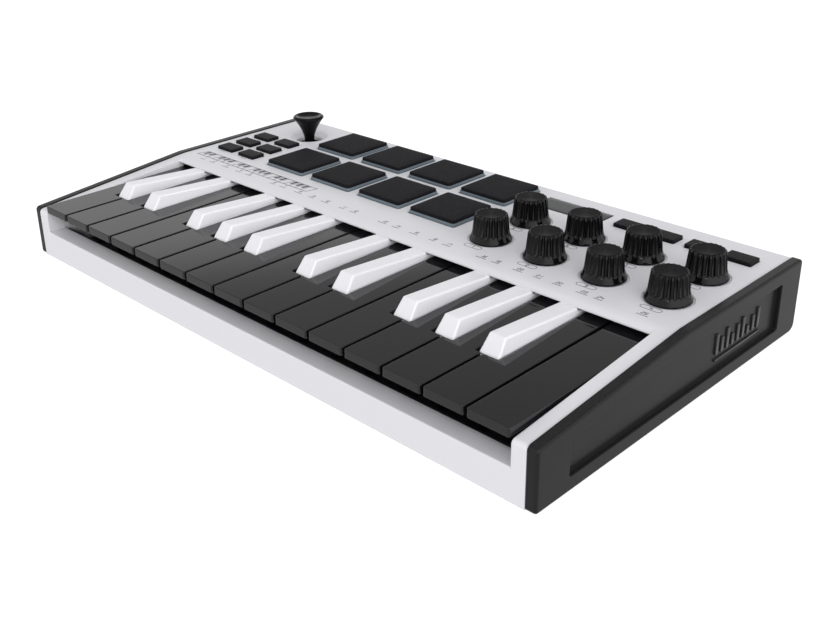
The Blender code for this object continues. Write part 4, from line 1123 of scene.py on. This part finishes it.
def buildPrints():
    bm = bmesh.new()
    # a keyboard pattern stands where a title goes
    titleY = fromFront(inkLook["titleFront"])
    keyTall = inkLook["titleTall"]
    keyPitch = inkLook["titlePitch"]
    start = inkLook["titleLeft"]
    for index in range(22):
        x = start + index * keyPitch
        inkBar(bm, x, titleY, 0.4 * mm, keyTall, 0.0, 0.3)
        if index % 7 not in (2, 6) and index < 21:
            inkBar(bm, x + keyPitch / 2 + 0.5 * mm, titleY + keyTall * 0.19, 1.9 * mm, keyTall * 0.62,
                   0.2 * mm, 0.3)
    middle = start + 10.5 * keyPitch
    for side in (-1, 1):
        inkBar(bm, middle + side * keyTall * 0.15, titleY + side * keyTall / 2,
               21 * keyPitch + 0.4 * mm, 0.4 * mm)
    # small numbers with a dash under each, above the keys
    labelY = fromFront(inkLook["labelFront"])
    places = sorted(centreOf(name).x for name in naturalNames + sharpNames)
    for index, x in enumerate(places):
        wide = 3.6 * mm + (index * 37 % 5) * 0.5 * mm
        inkBar(bm, x, labelY - 1.35 * mm, wide, 0.34 * mm, 0.0, 0.15)
        inkNumber(bm, str(index + 1), x, labelY + 0.6 * mm, 1.7 * mm, 0.27 * mm)
    # a pill with the knob's number in front of each knob, then dashes at the buttons and pads
    for index, name in enumerate(numbered("knob", 8)):
        middle = centreOf(name)
        y = middle.y - inkLook["pillAhead"]
        inkRing(bm, middle.x, y, *inkLook["pill"])
        inkNumber(bm, str(index + 1), middle.x, y, 1.6 * mm, 0.3 * mm, 0.0)
    for index, name in enumerate(numbered("left_button", 6)):
        middle = centreOf(name)
        inkBar(bm, middle.x, middle.y - 5.4 * mm, 2.6 * mm + (index % 3) * 0.7 * mm, 0.3 * mm)
    for index, name in enumerate(numbered("right_button", 4)):
        middle = centreOf(name)
        inkBar(bm, middle.x, middle.y + 5.9 * mm, 3.4 * mm + (index % 2) * 1.2 * mm, 0.3 * mm)
        inkBar(bm, middle.x, middle.y + 6.8 * mm, 2.4 * mm + (index % 3) * 0.6 * mm, 0.3 * mm)
    for index, name in enumerate(numbered("drum_pad", 8)):
        middle = centreOf(name)
        inkNumber(bm, str(index + 1), middle.x - 12.4 * mm, middle.y + 15.9 * mm, 1.3 * mm, 0.22 * mm, 0.0)
        inkBar(bm, middle.x - 9.2 * mm, middle.y + 15.9 * mm, 3.4 * mm, 0.25 * mm)
    addPiece("panel_prints", bm, finish["print_ink"], "case", smooth=0)


buildPrints()
print("prints made")


underLook = {
    "screws": ((-147.6, 81.0), (147.6, 81.0), (-110.5, 41.5), (34.0, 41.5), (-110.0, -82.4),
               (0.0, -82.4), (110.0, -82.4)),
    "feet": ((-135.0, -74.5), (135.0, -74.5), (-135.0, 71.5), (135.0, 71.5)),
    "thickness": 2.0 * mm,
    "rearHalf": 151.84 * mm,
    "frontHalf": 147.61 * mm,
    "stepBack": 81.3 * mm,
    "vents": 12,
    "ventPitch": (12.0, 10.0),
    "ventStart": (-66.0, 66.0),
    "ventSize": (4.2 * mm, 0.9 * mm, 0.85 * mm),
    "label": (34.0 * mm, 15.0 * mm, 2.0 * mm),
}


def buildCover():
    # the plate seen from below, with recesses for the screws and a row of vents
    low = footHeight
    look = underLook
    rearX, frontX = look["rearHalf"], look["frontHalf"]
    step = fromFront(look["stepBack"])
    front, rear = fromFront(2.5 * mm), fromFront(174.5 * mm)
    corners = [(-frontX, front, 1.0 * mm), (frontX, front, 1.0 * mm), (frontX, step, 0.0),
               (rearX, step, 0.5 * mm), (rearX, rear, 1.0 * mm), (-rearX, rear, 1.0 * mm),
               (-rearX, step, 0.5 * mm), (-frontX, step, 0.0)]
    bm = bmesh.new()
    outline = roundCorners(corners, 4)
    loft(bm, [(outline, low), (outline, low + look["thickness"])])
    softEdges(bm, 0.4 * mm, 3, lambda e: sharpEdge(e) and all(v.co.z < low + 0.01 * mm for v in e.verts))
    plate = meshOf(bm, "cover")
    bm = bmesh.new()
    for x, y in look["screws"]:
        turned(bm, [(0.0, low - 1.0 * mm), (3.1 * mm, low - 1.0 * mm), (3.1 * mm, low),
                    (2.9 * mm, low + 0.2 * mm), (2.9 * mm, low + 1.2 * mm), (0.0, low + 1.2 * mm)],
               40, (x * mm, y * mm))
    for row in range(2):
        for index in range(look["vents"]):
            x = (look["ventStart"][0] + index * look["ventPitch"][0]) * mm
            y = (look["ventStart"][1] - row * look["ventPitch"][1]) * mm
            slot = rectangle(*look["ventSize"], 4, x, y)
            loft(bm, [(slot, low - 1.0 * mm), (slot, low + 0.9 * mm)])
    label = rectangle(*look["label"], 5)
    loft(bm, [(label, low - 1.0 * mm), (label, low + 0.3 * mm)])
    plate = combine(plate, meshOf(bm, "cover_cuts"), "DIFFERENCE")
    piece = addPiece("cover_plate", plate, finish["cover_white"], "case", smooth=35)
    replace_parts(evenNormals(piece), "bottom_cover")


def buildScrews():
    low = footHeight
    bm = bmesh.new()
    profile = [(0.0, 0.15), (2.45, 0.15), (2.6, 0.3), (2.6, 1.0), (1.3, 1.15), (1.2, 6.0), (0.0, 6.4)]
    turned(bm, inMm(profile), 32)
    head = meshOf(bm, "screw")
    bm = bmesh.new()
    box(bm, *inMm([(-1.5, -0.32, -0.5), (1.5, 0.32, 0.75)]))
    box(bm, *inMm([(-0.32, -1.5, -0.5), (0.32, 1.5, 0.75)]))
    head = combine(head, meshOf(bm, "cross"), "DIFFERENCE")
    for index, (x, y) in enumerate(underLook["screws"]):
        addPiece(f"cover_screw_{index + 1}", head, finish["screw_steel"], "case",
                 (x * mm, y * mm, low), 35)


def buildFeet():
    bm = bmesh.new()
    profile = [(0.0, 0.06), (3.6, 0.04), (4.2, 0.0), (5.2, 0.0), (5.7, 0.12), (6.0, 0.45), (6.0, 0.9),
               (0.0, 0.9)]
    turned(bm, inMm(profile), 48)
    foot = meshOf(bm, "foot")
    for index, (x, y) in enumerate(underLook["feet"]):
        addPiece(f"foot_{index + 1}", foot, finish["foot_rubber"], "case", (x * mm, y * mm, 0.0), 35)


def buildSockets():
    back = shellLook["depth"] / 2
    bm = bmesh.new()
    outer = rectangle(4.15 * mm, 3.85 * mm, 0.7 * mm, 4)
    inner = rectangle(3.85 * mm, 3.55 * mm, 0.5 * mm, 4)
    rows = rowsOf(bm, [(outer, -11.8 * mm), (outer, -0.45 * mm), (inner, -0.45 * mm), (inner, -11.6 * mm)])
    joinRows(bm, rows)
    bm.faces.new(rows[0])
    bm.faces.new(rows[3])
    box(bm, *inMm([(-2.6, 1.3, -11.6), (2.6, 1.9, -11.5)]))
    bmesh.ops.transform(bm, matrix=toBack, verts=bm.verts)
    usbX, usbHeight = socketLook["usb"]
    usb = (usbX, back, usbHeight)
    addPiece("usb_shell", bm, finish["socket_steel"], "case", usb, 35)
    bm = bmesh.new()
    box(bm, *inMm([(-2.7, -11.6, -1.5), (2.7, -2.2, 1.5)]))
    softEdges(bm, 0.4 * mm, 3, sharpEdge)
    addPiece("usb_tongue", bm, finish["frame_black"], "case", usb, 35)
    bm = bmesh.new()
    for dx in (-1.6, -0.5, 0.5, 1.6):
        box(bm, *inMm([(dx - 0.25, -10.5, 1.48), (dx + 0.25, -2.6, 1.58)]))
    addPiece("usb_contacts", bm, finish["contact_gold"], "case", usb, 0)
    bm = bmesh.new()
    profile = [(3.25, -16.5), (3.25, -0.25), (3.5, -0.05), (4.45, -0.05), (4.65, -0.25), (4.65, -0.6),
               (3.24, -0.6), (3.2, -16.5), (0.0, -16.6)]
    turned(bm, inMm(profile), 48)
    bmesh.ops.transform(bm, matrix=toBack, verts=bm.verts)
    jackX, jackHeight = socketLook["jack"]
    addPiece("jack_bush", bm, finish["socket_steel"], "case",
             (jackX, back, jackHeight), 35)


buildCover()
buildScrews()
buildFeet()
buildSockets()
print("screws, feet and sockets made")


cameraLook = {
    "place": (0.3293, -0.32026, 0.21746),
    "target": (0.0, 0.0, 0.0158),
    "roll": -1.353,
    "lens": 46.55,
    "shift": (0.0434, -0.0668),
}
studioLook = {
    "horizon": 1.0,
    "front": 1.28,
    "zenith": 0.43,
    "side": 1.95,
    "veil": 0.45,
    "softboxPlace": (0.9, -0.5, 1.3),
    "softboxSize": 1.2,
    "softboxPower": 1.2,
    "glintPlace": (0.55, -0.75, 1.0),
    "glintSize": 0.16,
    "glintPower": 1.6,
    "floorColour": (0.3, 0.3, 0.3),
    "floorSeen": 0.86,
    "floorBounce": 0.45,
}


def addCamera():
    data = bpy.data.cameras.new("camera")
    data.lens = cameraLook["lens"]
    data.sensor_width = 36.0
    data.shift_x, data.shift_y = cameraLook["shift"]
    data.clip_start = 0.01
    data.clip_end = 50.0
    camera = bpy.data.objects.new("camera", data)
    bpy.context.scene.collection.objects.link(camera)
    place = Vector(cameraLook["place"])
    ahead = (Vector(cameraLook["target"]) - place).normalized()
    side = ahead.cross(Vector((0.0, 0.0, 1.0))).normalized()
    up = side.cross(ahead)
    roll = math.radians(cameraLook["roll"])
    rolledSide = side * math.cos(roll) + up * math.sin(roll)
    rolledUp = up * math.cos(roll) - side * math.sin(roll)
    turn = Matrix((rolledSide, rolledUp, -ahead)).transposed().to_4x4()
    camera.matrix_world = Matrix.Translation(place) @ turn
    bpy.context.scene.camera = camera


def addStudio():
    look = studioLook
    scene = bpy.context.scene
    scene.view_settings.view_transform = "Standard"
    world = bpy.data.worlds.new("studio")
    scene.world = world
    world.use_nodes = True
    tree = world.node_tree
    back = tree.nodes["Background"]
    where = addNode(tree, "TexCoord", {}).outputs["Generated"]
    height = addNode(tree, "SeparateXYZ", {"Vector": where}).outputs["Z"]

    def along(direction):
        values = {0: where, 1: Vector(direction).normalized()}
        return addNode(tree, "VectorMath", values, operation="DOT_PRODUCT").outputs["Value"]

    def ramp(value, start, end, low=0.0, high=1.0):
        values = {"Value": value, "From Min": start, "From Max": end, "To Min": low, "To Max": high}
        return addNode(tree, "MapRange", values, interpolation_type="SMOOTHSTEP").outputs["Result"]

    def times(a, b):
        return mathNode(tree, "MULTIPLY", a, b)

    # bright round the horizon and in front, dimmer overhead, and a grey veil low at the back left
    veil = times(ramp(along((-0.7, 0.7, 0.0)), 0.1, 0.45), ramp(height, 0.365, 0.43))
    veil = times(veil, ramp(height, 0.62, 0.8, 1.0, 0.0))
    dim = mathNode(tree, "SUBTRACT", 1.0, times(veil, 1.0 - look["veil"]))
    strength = times(ramp(along((0.25, -0.9, 0.35)), -0.3, 0.8, look["horizon"], look["front"]), dim)
    strength = times(strength, ramp(height, 0.35, 0.95, 1.0, look["zenith"]))
    strength = times(strength, ramp(along((1.0, -0.1, 0.3)), 0.45, 0.95, 1.0, look["side"]))
    direct = addNode(tree, "LightPath", {}).outputs["Is Camera Ray"]
    seen = addNode(tree, "Mix", {"Factor": direct, "A": strength, "B": 1.0})
    tree.links.new(seen.outputs["Result"], back.inputs["Strength"])
    back.inputs["Color"].default_value = (1.0, 1.0, 1.0, 1.0)

    for name in ("softbox", "glint"):
        light = bpy.data.lights.new(name, "AREA")
        light.shape = "SQUARE"
        light.size = look[name + "Size"]
        light.energy = look[name + "Power"]
        lamp = bpy.data.objects.new(name, light)
        scene.collection.objects.link(lamp)
        lamp.location = look[name + "Place"]
        lamp.rotation_euler = (-Vector(look[name + "Place"])).to_track_quat("-Z", "Y").to_euler()

    bm = bmesh.new()
    bmesh.ops.create_grid(bm, x_segments=8, y_segments=8, size=6.0)
    paper = bpy.data.materials.new("floor_paper")
    paper.use_nodes = True
    tree = paper.node_tree
    shader = tree.nodes["Principled BSDF"]
    noise = addNode(tree, "TexNoise", {"Scale": 3.0}).outputs["Fac"]
    tint = mixColours(tree, noise, (*look["floorColour"], 1.0), (0.32, 0.32, 0.32, 1.0))
    tree.links.new(tint, shader.inputs["Base Color"])
    shader.inputs["Roughness"].default_value = 0.9
    shader.inputs["Emission Color"].default_value = (1.0, 1.0, 1.0, 1.0)
    direct = addNode(tree, "LightPath", {}).outputs["Is Camera Ray"]
    glow = addNode(tree, "Mix", {"Factor": direct, "A": look["floorBounce"], "B": look["floorSeen"]})
    tree.links.new(glow.outputs["Result"], shader.inputs["Emission Strength"])
    floor = addPiece("floor", bm, paper, None, smooth=0)


addCamera()
addStudio()
print("studio made")
